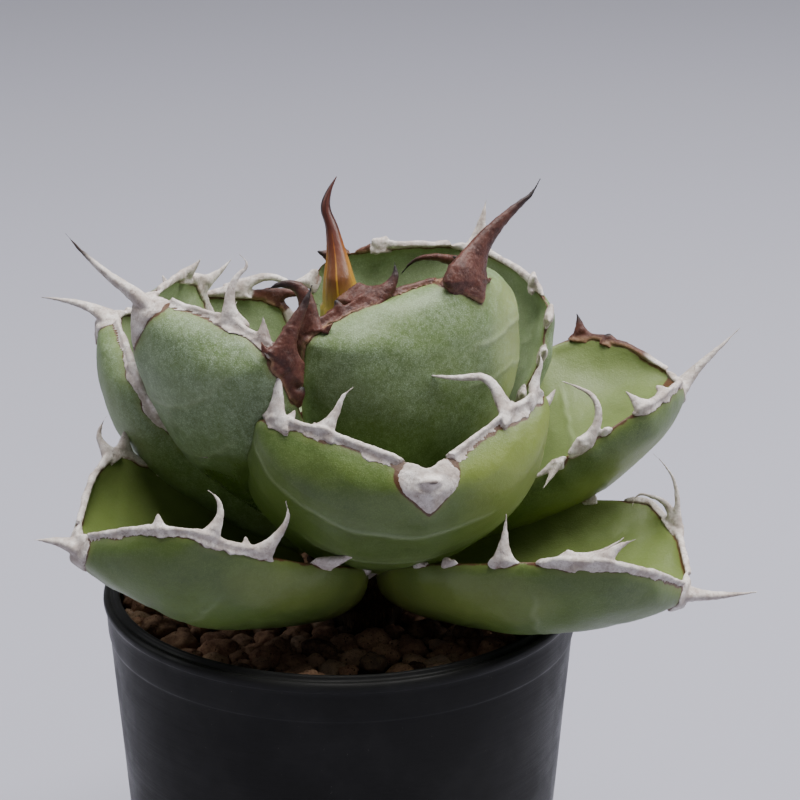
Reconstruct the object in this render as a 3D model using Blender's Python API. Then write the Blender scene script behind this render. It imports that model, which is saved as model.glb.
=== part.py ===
"""A potted agave: a round black nursery pot, a gritty mix with loose lava-like grains on top, and one
rosette of thick keeled leaves on a short stem.  Metres, +Z up, origin at the middle of the pot's foot.
Azimuths are in degrees from +X, seen from above; the plant's best side looks towards -Y."""

import math
import random

import bmesh
import bpy
from mathutils import Vector, noise

for old in list(bpy.data.objects):
    bpy.data.objects.remove(old, do_unlink=True)

MM = 0.001
GAP = 0.35 * MM             # air left between two pieces that touch

# ---- pot -------------------------------------------------------------------------------------------
POT_HEIGHT = 80.0 * MM
RIM_RADIUS = 45.0 * MM      # over the outer bead of the rim
RIM_WIDTH = 3.2 * MM        # from the outer bead to inside the inner bead
MOUTH_RADIUS = RIM_RADIUS - RIM_WIDTH
WALL = 1.2 * MM
FOOT_RADIUS = 38.0 * MM
FLOOR = 2.0 * MM            # thickness of the pot's bottom
RIM_HEIGHT = 2.6 * MM       # how far down the wall the rim's beads reach
DRAIN_COUNT = 8
DRAIN_RADIUS = 3.4 * MM
DRAIN_CIRCLE = 25.0 * MM    # radius of the circle that the drain holes stand on
POT_SEGMENTS = 48

# ---- soil and grains -------------------------------------------------------------------------------
SOIL_BELOW_RIM = 7.6 * MM
SOIL_TOP = POT_HEIGHT - SOIL_BELOW_RIM
SOIL_SEGMENTS = 32
GRAIN_SIZE = 6.4 * MM       # mean width of one grain
GRAIN_SPREAD = 0.16         # how far single grains differ from the mean, as a share
# distance of each ring of grains from the pot's mouth, number of grains, turn in steps
GRAIN_RINGS = ((5.6 * MM, 18, 0.0), (14.6 * MM, 8, 0.3))

# ---- stem ------------------------------------------------------------------------------------------
CROWN_X = 5.0 * MM          # the plant stands a little off the pot's middle
CROWN_Y = -2.0 * MM
CROWN_ABOVE_SOIL = 10.6 * MM
CROWN_Z = SOIL_TOP + CROWN_ABOVE_SOIL       # height of the widest part of the stem
STEM_RADIUS = 11.0 * MM
STEM_RISE = 17.0 * MM       # from the widest part to the growing point
NECK_RADIUS = 6.0 * MM      # where the stem enters the mix
ROOT_RADIUS = 11.5 * MM     # widest part of the root mass
ROOT_DEPTH = 26.0 * MM      # how far the root mass reaches into the mix
ROOT_RINGS = 8
POCKET_GAP = 0.6 * MM       # between the root mass and the mix round it
STEM_SEGMENTS = 18

# ---- leaves ----------------------------------------------------------------------------------------
LEAF_SIZE = 1.0             # scales every leaf's length and width
LEAF_THICKNESS = 1.0        # scales every leaf's thickness
MARGIN = 1.3 * MM           # thickness of the horny edge
STATIONS = 16               # rings along a leaf
STRIPS = 8                  # faces across a leaf
# share of the length against share of the half width, for a pointed and for a blunt leaf
POINTED = ((0.0, 0.34), (0.15, 0.56), (0.35, 0.84), (0.58, 1.00), (0.78, 0.86), (0.92, 0.50), (1.0, 0.12))
BLUNT = ((0.0, 0.34), (0.15, 0.54), (0.35, 0.78), (0.60, 0.96), (0.80, 1.00), (0.93, 0.68), (1.0, 0.13))
# what a full leaf has on top of that near its base
FULLNESS = ((0.0, 0.06), (0.16, 0.22), (0.34, 0.16), (0.60, 0.0), (1.0, 0.0))
# share of the length against share of the greatest thickness
SECTION = ((0.0, 0.38), (0.20, 0.66), (0.55, 1.00), (0.82, 0.72), (1.0, 0.30))


def along(knots, x):
    """Smooth curve through the knots that never overshoots them."""
    xs = [k[0] for k in knots]
    ys = [k[1] for k in knots]
    x = min(max(x, xs[0]), xs[-1])
    slopes = [(ys[i + 1] - ys[i]) / (xs[i + 1] - xs[i]) for i in range(len(xs) - 1)]
    k = 0
    while k < len(xs) - 2 and x > xs[k + 1]:
        k += 1

    def knot_slope(i):
        if i == 0:
            return slopes[0]
        if i == len(xs) - 1:
            return slopes[-1]
        a, b = slopes[i - 1], slopes[i]
        return 0.0 if a * b <= 0 else 2 * a * b / (a + b)

    h = xs[k + 1] - xs[k]
    u = (x - xs[k]) / h
    return ((2 * u**3 - 3 * u**2 + 1) * ys[k] + (u**3 - 2 * u**2 + u) * h * knot_slope(k)
            + (3 * u**2 - 2 * u**3) * ys[k + 1] + (u**3 - u**2) * h * knot_slope(k + 1))


class Leaf:
    """One leaf as a surface: s runs from the stem to the tip, t from the right edge -1 to the left edge 1."""

    STEPS = 120

    def __init__(self, azimuth, latitude, length, half_width, rise, thickness=9.0, cup=(60, 58, 72),
                 blunt=0.5, full=0.0, sweep=0.0, roll=0.0, spine=(13.0, 0.0, 0.0), left=(), right=()):
        self.length = length * MM * LEAF_SIZE
        self.half_width = half_width * MM * LEAF_SIZE
        self.thickness = thickness * MM * LEAF_THICKNESS
        self.cup = cup
        self.blunt = blunt
        self.full = full
        self.spine = spine
        self.teeth = {1: left, -1: right}
        lat = math.radians(latitude)
        azim = math.radians(azimuth)
        foot = Vector((math.cos(lat) * math.cos(azim) * STEM_RADIUS,
                       math.cos(lat) * math.sin(azim) * STEM_RADIUS, math.sin(lat) * STEM_RISE))
        self.centres = [foot + Vector((CROWN_X, CROWN_Y, CROWN_Z))]
        self.frames = []
        for i in range(self.STEPS + 1):
            s = i / self.STEPS
            az = math.radians(azimuth + sweep * along(((0.0, 0.0), (0.5, 0.85), (1.0, 1.0)), s))
            e = math.radians(along(((0.0, rise[0]), (0.5, rise[1]), (1.0, rise[2])), s))
            ahead = Vector((math.cos(e) * math.cos(az), math.cos(e) * math.sin(az), math.sin(e)))
            left_way = Vector((-math.sin(az), math.cos(az), 0.0))
            inner = ahead.cross(left_way)
            r = math.radians(roll * s)
            self.frames.append((ahead, left_way * math.cos(r) + inner * math.sin(r),
                                inner * math.cos(r) - left_way * math.sin(r)))
            if i:
                self.centres.append(self.centres[-1] + (last + ahead) * (0.5 * self.length / self.STEPS))
            last = ahead

    def frame(self, s):
        """Centre, and the ways ahead, to the left and to the inner side."""
        x = min(max(s, 0.0), 1.0) * self.STEPS
        i = min(int(x), self.STEPS - 1)
        f = x - i
        mixed = [a.lerp(b, f).normalized() for a, b in zip(self.frames[i], self.frames[i + 1])]
        return [self.centres[i].lerp(self.centres[i + 1], f)] + mixed

    def half(self, s):
        share = (1 - self.blunt) * along(POINTED, s) + self.blunt * along(BLUNT, s)
        return self.half_width * (share + self.full * along(FULLNESS, s))

    def fold(self, s):
        return math.radians(along(((0.0, self.cup[0]), (0.5, self.cup[1]), (1.0, self.cup[2])), s))

    def point(self, s, t, down):
        """A point of the upper face (down 0) or of the lower face (down 1)."""
        centre, ahead, left_way, inner = self.frame(s)
        a = self.half(s)
        phi = self.fold(s)
        u = a * math.sin(phi * t) / phi
        v = a * (1 - math.cos(phi * t)) / phi
        body = self.thickness * along(SECTION, s) * (1 - abs(t)**2.2)**0.75
        deep = down * (body + MARGIN * min(1.0, a / (4 * MM)))
        u += deep * math.sin(phi * t)
        v -= deep * math.cos(phi * t)
        return centre + left_way * u + inner * v

    def tooth_line(self, side, shape, pieces):
        """Centre line of a tooth, from the middle of the edge."""
        at, root, size, lift, lean, curl, turn = shape
        start = self.point(at, side, 0.5)
        centre, ahead, left_way, inner = self.frame(at)
        phi = self.fold(at) * side
        outward = (left_way * math.cos(phi) + inner * math.sin(phi)) * side
        inward = inner * math.cos(phi) - left_way * math.sin(phi)
        line = [start]
        for k in range(pieces):
            f = (k + 0.5) / pieces
            a = math.radians(lean + curl * f)
            o = math.radians(lift + turn * f)
            way = (outward * math.cos(a) + ahead * math.sin(a)) * math.cos(o) + inward * math.sin(o)
            line.append(line[-1] + way * (size * MM * LEAF_SIZE / pieces))
        return line

    def spine_line(self, pieces):
        """Centre line of the terminal spine."""
        size, up, aside = self.spine
        centre, ahead, left_way, inner = self.frame(1.0)
        start = (self.point(1.0, 0.0, 0.0) + self.point(1.0, 0.0, 1.0)) * 0.5
        line = [start]
        for k in range(pieces):
            f = (k + 0.5) / pieces
            a = math.radians(up * f**0.3)
            o = math.radians(aside * f)
            way = (ahead * math.cos(a) + inner * math.sin(a)) * math.cos(o) + left_way * math.sin(o)
            line.append(line[-1] + way * (size * MM * LEAF_SIZE / pieces))
        return line


def tooth(at, root, size, inward=10, lean=0, curl=0, turn=0):
    """A tooth: place along the leaf, width of its root in mm, length in mm, lean to the inner side,
    lean to the tip, and how far it curls to the tip and to the inner side on its way (degrees)."""
    return (at, root, size, inward, lean, curl, turn)


# teeth that the plain edges carry
FEW = (
    tooth(0.42, 2.6, 4.5, 20, -10, 20),
    tooth(0.62, 2.8, 6.5, 15, -15, 30),
    tooth(0.80, 3.2, 8.0, 20, -10, 35),
    tooth(0.92, 2.6, 4.5, 25, 20, 20),
)
MORE = (
    tooth(0.28, 2.2, 3.2, 20, 0, 10),
    tooth(0.45, 2.6, 5.5, 15, -20, 40),
    tooth(0.60, 2.6, 4.0, 25, 20, 10),
    tooth(0.74, 3.4, 8.5, 10, -15, 45),
    tooth(0.88, 3.0, 6.0, 25, 10, 30),
)

LEAVES = {
    # the three lowest leaves
    "leaf_01": Leaf(
        -43, 2, 54, 24, (13, 9, 2), thickness=7.5, cup=(64, 56, 42), blunt=1.0, full=0.8,
        sweep=30, roll=-9, spine=(13, 10, 0),
        left=(
            tooth(0.22, 2.0, 2.5),
            tooth(0.42, 2.4, 3.0, 10, 10),
            tooth(0.60, 2.2, 2.6, 10, -20),
            tooth(0.78, 2.8, 7.5, 10, -60, -20),
            tooth(0.90, 3.4, 8.5, 20, -40, 30),
        ),
        right=(
            tooth(0.08, 2.0, 4.5, 10, 30, -40),
            tooth(0.24, 2.6, 2.6, 5, 40),
            tooth(0.35, 2.4, 2.8, 5, 40),
            tooth(0.46, 3.6, 9.0, 15, 10, 0),
            tooth(0.65, 4.0, 13.0, 10, 62, 8),
            tooth(0.80, 3.2, 8.0, 15, 50, 10),
        ),
    ),
    "leaf_02": Leaf(
        227, -2, 54, 25, (18, 22, 28), thickness=7.5, cup=(64, 60, 66), blunt=1.0, full=0.8,
        sweep=-27, spine=(7, 25, 0),
        left=(
            tooth(0.08, 2.0, 3.0, 10, -30),
            tooth(0.20, 2.2, 5.0, 10, -40, 20),
            tooth(0.45, 3.4, 12.5, 5, -66, -10),
            tooth(0.66, 3.8, 13.0, 5, -30, 45),
            tooth(0.74, 2.2, 2.4, 10, 10),
            tooth(0.86, 3.4, 11.0, 5, -15, 50),
            tooth(0.945, 2.0, 2.4, 10, 0),
        ),
        right=(
            tooth(0.24, 2.2, 2.4, 10, 10),
            tooth(0.42, 2.4, 3.0, 10, -10),
            tooth(0.60, 2.2, 2.6, 10, 10),
            tooth(0.80, 3.0, 10.0, 5, -20, -30),
            tooth(0.90, 3.0, 8.0, 0, 20, -40),
        ),
    ),
    "leaf_03": Leaf(
        88, -2, 54, 24, (12, 16, 26), thickness=9, cup=(60, 50, 50), blunt=0.8, full=0.4,
        spine=(12, -10, 0), left=FEW, right=MORE,
    ),
    # the middle tier
    "leaf_04": Leaf(
        -76, 27, 42.5, 32, (38, 42, 42), thickness=8.0, cup=(62, 58, 66), blunt=0.9, full=0.9,
        spine=(4, -30, 0),
        left=(
            tooth(0.22, 2.2, 3.0, 20, 0),
            tooth(0.40, 2.4, 3.4, 15, -20),
            tooth(0.58, 2.6, 4.5, 10, 20, 20),
            tooth(0.82, 3.4, 9.0, 5, 10, -50),
            tooth(0.93, 4.2, 17.5, 0, 10, 135),
        ),
        right=(
            tooth(0.18, 2.2, 6.0, 5, -10, 30),
            tooth(0.34, 3.0, 8.0, -10, -10, 30),
            tooth(0.56, 2.6, 3.0, 10, 20),
            tooth(0.81, 4.6, 13.5, 0, -25, -60),
            tooth(0.925, 3.2, 10.5, 20, 30, -20),
        ),
    ),
    "leaf_05": Leaf(
        167, 22, 57, 21, (31, 42, 80), thickness=7, cup=(50, 45, 50), blunt=0.6,
        spine=(14, -60, 0),
        left=(
            tooth(0.35, 2.2, 2.6, 10, 0),
            tooth(0.55, 2.4, 3.4, 0, 20),
            tooth(0.72, 2.6, 4.0, 0, -20),
            tooth(0.86, 3.4, 7.0, 30, -30, 30),
        ),
        right=FEW,
    ),
    "leaf_06": Leaf(
        15, 20, 57, 24, (26, 29, 24), thickness=7.5, cup=(56, 48, 50), blunt=0.6,
        spine=(16, 25, 0),
        left=(
            tooth(0.45, 2.4, 3.0, 10, 10),
            tooth(0.62, 2.6, 4.0, 10, -20),
            tooth(0.84, 2.8, 5.0, 10, -20, 30),
            tooth(0.93, 2.4, 3.0, 10, 20),
        ),
        right=(
            tooth(0.30, 2.2, 3.0, 10, 20),
            tooth(0.44, 3.0, 7.0, 0, 50, -90),
            tooth(0.57, 3.6, 16.0, 20, 20, -110),
            tooth(0.70, 2.6, 2.6, 10, 0),
            tooth(0.82, 3.2, 6.5, 20, -40, 10),
        ),
    ),
    # the inner leaves
    "leaf_07": Leaf(
        200, 38, 58, 27, (45, 54, 76), thickness=7.5, cup=(56, 54, 68), blunt=0.9,
        spine=(20, -50, 0),
        left=(
            tooth(0.45, 2.4, 3.0, 5, 0),
            tooth(0.64, 2.6, 4.0, 5, -30),
            tooth(0.79, 4.6, 15.0, 10, -25, -25),
            tooth(0.875, 2.4, 4.5, 5, 0, 20),
            tooth(0.945, 3.6, 12.0, 20, -15, 30),
        ),
        right=FEW,
    ),
    "leaf_08": Leaf(
        147, 38, 49, 18, (38, 46, 58), thickness=6, cup=(48, 44, 50), blunt=0.6,
        roll=-18, spine=(6, 0, 0),
        left=(
            tooth(0.55, 2.4, 3.4, 5, 10),
            tooth(0.74, 2.6, 4.0, 10, -20),
            tooth(0.90, 3.2, 5.0, 20, 10),
        ),
        right=(
            tooth(0.50, 2.4, 3.4, 5, 0),
            tooth(0.70, 2.6, 5.0, 10, -20),
            tooth(0.84, 3.2, 10.0, 20, -30, -40),
            tooth(0.935, 3.6, 17.0, 20, 0, -100),
        ),
    ),
    "leaf_09": Leaf(
        57, 40, 52, 30, (44, 55, 68), thickness=6.5, cup=(50, 50, 56), blunt=0.7,
        spine=(10, 0, 0),
        left=(
            tooth(0.40, 2.4, 3.0, 5, 0),
            tooth(0.58, 2.6, 4.0, 5, -20),
            tooth(0.74, 2.8, 4.5, 5, -20),
            tooth(0.86, 3.2, 6.5, 5, -10, 20),
            tooth(0.94, 2.8, 4.5, 5, 10, 20),
        ),
        right=(
            tooth(0.45, 2.4, 3.0, 5, 0),
            tooth(0.62, 2.6, 3.6, 5, 10),
            tooth(0.78, 2.8, 4.0, 5, -20),
            tooth(0.90, 3.0, 5.5, 5, 10, 20),
        ),
    ),
    "leaf_10": Leaf(
        -40, 50, 52, 31, (58, 73, 92), thickness=7, cup=(60, 60, 70), blunt=0.85, full=0.2,
        spine=(23, -45, 20),
        left=(
            tooth(0.60, 2.4, 3.0, 5, 0),
            tooth(0.78, 2.8, 4.5, 10, 0),
            tooth(0.93, 3.4, 13.0, 55, 0, 30),
        ),
        right=(
            tooth(0.44, 2.8, 6.0, 15, 10, -60),
            tooth(0.62, 2.8, 5.0, -10, -30, 40),
            tooth(0.83, 4.6, 14.0, 10, 10, -120),
            tooth(0.945, 3.2, 7.0, 10, 0, 50),
        ),
    ),
    # the rolled-up youngest leaves at the heart of the rosette
    "leaf_11": Leaf(
        180, 78, 42, 6.2, (88, 86, 84), thickness=4, cup=(80, 80, 80), blunt=0.0,
        spine=(18, 24, 0),
    ),
}


LEAF_GREEN = (0.10, 0.19, 0.09)
PRESS_GAP = 1.3 * GAP       # air between a leaf and the dent that its neighbour has pressed
WELD = 0.004 * MM           # points of a dent nearer than this are one point

# a leaf, and the neighbours that have dented it
PRESSED = {
    "leaf_01": ("pot",),
    "leaf_02": ("pot",),
    "leaf_03": ("pot",),
    "leaf_07": ("leaf_10",),
    "leaf_04": ("leaf_01", "leaf_02", "leaf_06", "leaf_07", "leaf_10"),
    "leaf_05": ("leaf_02", "leaf_07", "leaf_08"),
    "leaf_06": ("leaf_01", "leaf_09"),
    "leaf_08": ("leaf_07", "leaf_09"),
    "leaf_09": ("leaf_10",),
}


def link(name, mesh_data, colour, roughness, metallic=0.0):
    """Turns a bmesh into a named, smooth object with its own material."""
    bmesh.ops.recalc_face_normals(mesh_data, faces=mesh_data.faces)
    mesh = bpy.data.meshes.new(name)
    mesh_data.to_mesh(mesh)
    mesh_data.free()
    for face in mesh.polygons:
        face.use_smooth = True
    mesh.set_sharp_from_angle(angle=math.radians(40))
    material = bpy.data.materials.new(name)
    material.use_nodes = True
    shader = material.node_tree.nodes["Principled BSDF"]
    shader.inputs["Base Color"].default_value = (*colour, 1.0)
    shader.inputs["Roughness"].default_value = roughness
    shader.inputs["Metallic"].default_value = metallic
    mesh.materials.append(material)
    thing = bpy.data.objects.new(name, mesh)
    bpy.context.scene.collection.objects.link(thing)
    return thing


def turned(profile, segments, centre=(0.0, 0.0)):
    """A solid turned about the upright axis; profile runs in (radius, height) and may end on it."""
    solid = bmesh.new()
    rings = []
    for radius, height in profile:
        if radius == 0.0:
            rings.append([solid.verts.new((centre[0], centre[1], height))])
            continue
        ring = []
        for k in range(segments):
            a = 2 * math.pi * k / segments
            ring.append(solid.verts.new(
                (centre[0] + radius * math.cos(a), centre[1] + radius * math.sin(a), height)))
        rings.append(ring)
    closed = rings + [rings[0]] if len(rings[0]) > 1 else rings
    for low, high in zip(closed, closed[1:]):
        for k in range(segments):
            n = (k + 1) % segments
            if len(low) == 1:
                solid.faces.new((low[0], high[n], high[k]))
            elif len(high) == 1:
                solid.faces.new((low[k], low[n], high[0]))
            else:
                solid.faces.new((low[k], low[n], high[n], high[k]))
    return solid


# share of a tooth's length against share of its root's size
TAPER = ((0.0, 1.0), (0.22, 0.62), (0.50, 0.44), (0.78, 0.24))


def onto_stem(p):
    """The point moved in a straight line towards the stem's middle until it is one gap off the stem."""
    middle = Vector((CROWN_X, CROWN_Y, CROWN_Z))
    d = p - middle
    up = STEM_RISE if d.z > 0 else STEM_RISE * 2
    reach = math.sqrt((d.x**2 + d.y**2) / STEM_RADIUS**2 + d.z**2 / up**2)
    return middle + d * (1 / reach) + d.normalized() * GAP


def edge_stations(leaf, side):
    """Places of the rings along one edge, bent so that every tooth's root fills one space between rings."""
    places = [i / STATIONS for i in range(STATIONS + 1)]
    owner = {}
    for tooth in sorted(leaf.teeth[side]):
        at, half_root = tooth[0], 0.5 * tooth[1] * MM / leaf.length
        i = min(max(int(at * STATIONS), 0), STATIONS - 1)
        while i in owner or i - 1 in owner and places[i] > at - half_root:
            i += 1
        owner[i] = tooth
        places[i] = at - half_root
        places[i + 1] = at + half_root
    for i in range(1, STATIONS):
        if i not in owner and i - 1 not in owner:
            places[i] = min(max(places[i], places[i - 1] + 0.01), 0.99)
    for i in range(STATIONS - 1, 0, -1):
        places[i] = min(places[i], places[i + 1] - 0.008)
    return places, owner


def leaf_solid(leaf):
    """A closed leaf: inner face, keeled outer face, horny edge with its teeth, and the spine."""
    solid = bmesh.new()
    left, left_owner = edge_stations(leaf, 1)
    right, right_owner = edge_stations(leaf, -1)
    rings = []
    for i in range(STATIONS + 1):
        ring = []
        for down, order in ((0, range(STRIPS + 1)), (1, range(STRIPS, -1, -1))):
            for j in order:
                t = 2 * j / STRIPS - 1
                s = right[i] + (left[i] - right[i]) * (t + 1) / 2
                p = leaf.point(s, t, down)
                ring.append(solid.verts.new(onto_stem(p) if i == 0 else p))
        rings.append(ring)
    n = len(rings[0])
    edge_face = {}
    for i in range(STATIONS):
        for k in range(n):
            m = (k + 1) % n
            face = solid.faces.new((rings[i][k], rings[i][m], rings[i + 1][m], rings[i + 1][k]))
            if k == STRIPS:
                edge_face[1, i] = face
            if k == n - 1:
                edge_face[-1, i] = face
    for k in range(STRIPS):
        solid.faces.new((rings[0][k + 1], rings[0][k], rings[0][n - 1 - k], rings[0][n - 2 - k]))

    # spine
    line = leaf.spine_line(len(TAPER))
    root = rings[-1]
    start = line[0]
    ahead = leaf.frame(1.0)[1]
    last = root
    for (_, share), centre, way in zip(TAPER[1:], line[1:], [b - a for a, b in zip(line, line[1:])]):
        bend = ahead.rotation_difference(way.normalized())
        ring = []
        for v in root:
            offset = bend @ (v.co - start)
            ring.append(solid.verts.new(centre + offset * share))
        for k in range(n):
            m = (k + 1) % n
            solid.faces.new((last[k], last[m], ring[m], ring[k]))
        last = ring
    tip = solid.verts.new(line[-1])
    for k in range(n):
        solid.faces.new((last[k], last[(k + 1) % n], tip))

    # teeth
    for side, owners in ((1, left_owner), (-1, right_owner)):
        for i, tooth in owners.items():
            face = edge_face[side, i]
            root = list(face.verts)
            solid.faces.remove(face)
            line = leaf.tooth_line(side, tooth, len(TAPER))
            start = sum((v.co for v in root), Vector()) / 4
            shift = start - line[0]
            first = leaf_outward(leaf, side, tooth[0])
            last = root
            for (_, share), centre, a, b in zip(TAPER[1:], line[1:], line, line[1:]):
                bend = first.rotation_difference((b - a).normalized())
                ring = [solid.verts.new(centre + shift * 0.5 + (bend @ (v.co - start)) * share) for v in root]
                for k in range(4):
                    m = (k + 1) % 4
                    solid.faces.new((last[k], last[m], ring[m], ring[k]))
                last = ring
            tip = solid.verts.new(line[-1] + shift * 0.5)
            for k in range(4):
                solid.faces.new((last[k], last[(k + 1) % 4], tip))
    return solid


def leaf_outward(leaf, side, at):
    centre, ahead, left_way, inner = leaf.frame(at)
    phi = leaf.fold(at) * side
    return ((left_way * math.cos(phi) + inner * math.sin(phi)) * side).normalized()


def grown_copy(thing, name):
    """A hidden copy of a leaf or the pot, a little larger all over, that dents what is pressed against it."""
    copy = bmesh.new()
    copy.from_mesh(thing.data)
    copy.normal_update()
    offsets = [v.normal * PRESS_GAP for v in copy.verts]
    for v, offset in zip(copy.verts, offsets):
        v.co += offset
    cutter = link(name, copy, LEAF_GREEN, 0.5)
    cutter.hide_render = True
    cutter.display_type = "WIRE"
    return cutter


def wall_radius(height):
    """Outer radius of the pot's wall."""
    top = RIM_RADIUS - 0.6 * MM
    return FOOT_RADIUS + (top - FOOT_RADIUS) * height / (POT_HEIGHT - RIM_HEIGHT)


def make_pot():
    rim = POT_HEIGHT - RIM_HEIGHT
    bead = RIM_RADIUS - MOUTH_RADIUS
    foot_round = 1.0 * MM
    profile = [
        (0.0, 0.0),
        (FOOT_RADIUS - foot_round, 0.0),
        (FOOT_RADIUS, foot_round),
        (wall_radius(rim * 0.5), rim * 0.5),
        (wall_radius(rim), rim),
        (RIM_RADIUS, rim + 0.25 * RIM_HEIGHT),
        (RIM_RADIUS, rim + 0.55 * RIM_HEIGHT),
        (RIM_RADIUS - 0.22 * bead, rim + 0.78 * RIM_HEIGHT),
        (RIM_RADIUS - 0.42 * bead, rim + 0.66 * RIM_HEIGHT),
        (RIM_RADIUS - 0.60 * bead, rim + 0.96 * RIM_HEIGHT),
        (RIM_RADIUS - 0.80 * bead, POT_HEIGHT),
        (MOUTH_RADIUS, rim + 0.80 * RIM_HEIGHT),
        (MOUTH_RADIUS, rim + 0.35 * RIM_HEIGHT),
        (wall_radius(rim) - WALL, rim - 0.4 * RIM_HEIGHT),
        (wall_radius(rim * 0.5) - WALL, rim * 0.5),
        (wall_radius(FLOOR + foot_round) - WALL, FLOOR + foot_round),
        (wall_radius(FLOOR) - WALL - foot_round, FLOOR),
        (0.0, FLOOR),
    ]
    pot = link("pot", turned(profile, POT_SEGMENTS), (0.012, 0.012, 0.013), 0.42)
    drills = bmesh.new()
    for k in range(DRAIN_COUNT):
        a = 2 * math.pi * (k + 0.5) / DRAIN_COUNT
        made = bmesh.ops.create_cone(drills, cap_ends=True, segments=16, radius1=DRAIN_RADIUS,
                                     radius2=DRAIN_RADIUS, depth=6 * FLOOR)
        bmesh.ops.translate(drills, verts=made["verts"],
                            vec=(DRAIN_CIRCLE * math.cos(a), DRAIN_CIRCLE * math.sin(a), 0.0))
    cutter = link("drain_cutter", drills, (0.5, 0.5, 0.5), 0.5)
    cutter.hide_render = True
    cutter.display_type = "WIRE"
    cut = pot.modifiers.new("drain_holes", "BOOLEAN")
    cut.operation = "DIFFERENCE"
    cut.solver = "EXACT"
    cut.object = cutter


def stem_radius(height):
    """Radius of the stem and root mass, height above the crown's widest level."""
    soil = SOIL_TOP - CROWN_Z
    bottom = soil - ROOT_DEPTH
    if height >= 0:
        return STEM_RADIUS * math.sqrt(max(0.0, 1 - (height / STEM_RISE)**2))
    knots = ((bottom, 0.30 * ROOT_RADIUS), (bottom + 0.35 * ROOT_DEPTH, 0.85 * ROOT_RADIUS),
             (bottom + 0.7 * ROOT_DEPTH, ROOT_RADIUS), (soil, NECK_RADIUS), (0.0, STEM_RADIUS))
    return along(knots, height)


def root_levels():
    """Heights of the rings that the root mass and its pocket share, from the mix's surface down."""
    return [SOIL_TOP - CROWN_Z - ROOT_DEPTH * k / ROOT_RINGS for k in range(ROOT_RINGS + 1)]


def make_stem():
    bottom = root_levels()[-1]
    levels = root_levels()[::-1] + [(SOIL_TOP - CROWN_Z) * 0.5]
    profile = [(0.0, CROWN_Z + bottom)] + [(stem_radius(h), CROWN_Z + h) for h in levels]
    for k in range(6):
        a = math.radians(90 * k / 6)
        profile.append((STEM_RADIUS * math.cos(a), CROWN_Z + STEM_RISE * math.sin(a)))
    profile.append((0.0, CROWN_Z + STEM_RISE))
    link("stem", turned(profile, STEM_SEGMENTS, (CROWN_X, CROWN_Y)), (0.28, 0.27, 0.12), 0.7)


def make_soil():
    """The mix fills the pot and leaves a pocket, open at the top, that the root mass sits in."""
    soil = bmesh.new()
    outline = [
        (0.0, FLOOR + GAP),
        (wall_radius(FLOOR) - WALL - 1.0 * MM - GAP, FLOOR + GAP),
        (wall_radius(FLOOR + 2 * MM) - WALL - GAP, FLOOR + 2 * MM),
        (wall_radius(SOIL_TOP) - WALL - GAP, SOIL_TOP - 0.4 * MM),
        (wall_radius(SOIL_TOP) - WALL - GAP - 0.8 * MM, SOIL_TOP),
    ]
    depth = root_levels()[-1]
    pocket = [(stem_radius(h) + POCKET_GAP, CROWN_Z + h) for h in root_levels()]
    pocket[-1] = (pocket[-1][0], CROWN_Z + depth - GAP)
    pocket.append((0.0, CROWN_Z + depth - GAP))
    rings = []
    for profile, centre in ((outline, (0.0, 0.0)), (pocket, (CROWN_X, CROWN_Y))):
        for radius, height in profile:
            if radius == 0.0:
                rings.append([soil.verts.new((centre[0], centre[1], height))])
                continue
            rings.append([soil.verts.new((centre[0] + radius * math.cos(2 * math.pi * k / SOIL_SEGMENTS),
                                          centre[1] + radius * math.sin(2 * math.pi * k / SOIL_SEGMENTS),
                                          height)) for k in range(SOIL_SEGMENTS)])
    for low, high in zip(rings, rings[1:]):
        for k in range(SOIL_SEGMENTS):
            m = (k + 1) % SOIL_SEGMENTS
            if len(low) == 1:
                soil.faces.new((low[0], high[m], high[k]))
            elif len(high) == 1:
                soil.faces.new((low[k], low[m], high[0]))
            else:
                soil.faces.new((low[k], low[m], high[m], high[k]))
    link("soil", soil, (0.10, 0.045, 0.022), 0.95)


def make_grains():
    """Loose porous grains lying on the mix, each one lumpy and its own piece."""
    pick = random.Random(7)
    number = 0
    for inside, count, turn in GRAIN_RINGS:
        radius = MOUTH_RADIUS - inside
        for k in range(count):
            number += 1
            a = 2 * math.pi * (k + turn + pick.uniform(-0.06, 0.06)) / count
            size = GRAIN_SIZE * (1 + pick.uniform(-GRAIN_SPREAD, GRAIN_SPREAD))
            grain = bmesh.new()
            bmesh.ops.create_icosphere(grain, subdivisions=1, radius=0.5 * size)
            seed = Vector((number * 3.7, number * 1.3, 0.0))
            squash = Vector((1.0, pick.uniform(0.82, 1.0), pick.uniform(0.72, 0.86)))
            for v in grain.verts:
                bump = 1 + 0.16 * noise.noise(v.co * (2.2 / size) + seed)
                v.co = Vector((v.co.x * squash.x, v.co.y * squash.y, v.co.z * squash.z)) * bump
            bmesh.ops.rotate(grain, verts=grain.verts, cent=(0, 0, 0),
                             matrix=Vector((0, 0, 1)).rotation_difference(
                                 Vector((pick.uniform(-0.4, 0.4), pick.uniform(-0.4, 0.4), 1))).to_matrix())
            low = min(v.co.z for v in grain.verts)
            bmesh.ops.translate(grain, verts=grain.verts, vec=(
                radius * math.cos(a), radius * math.sin(a), SOIL_TOP + GAP - low))
            shade = pick.uniform(0.7, 1.35)
            link(f"grain_{number:02d}", grain, (0.16 * shade, 0.075 * shade, 0.038 * shade), 0.95)


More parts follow.
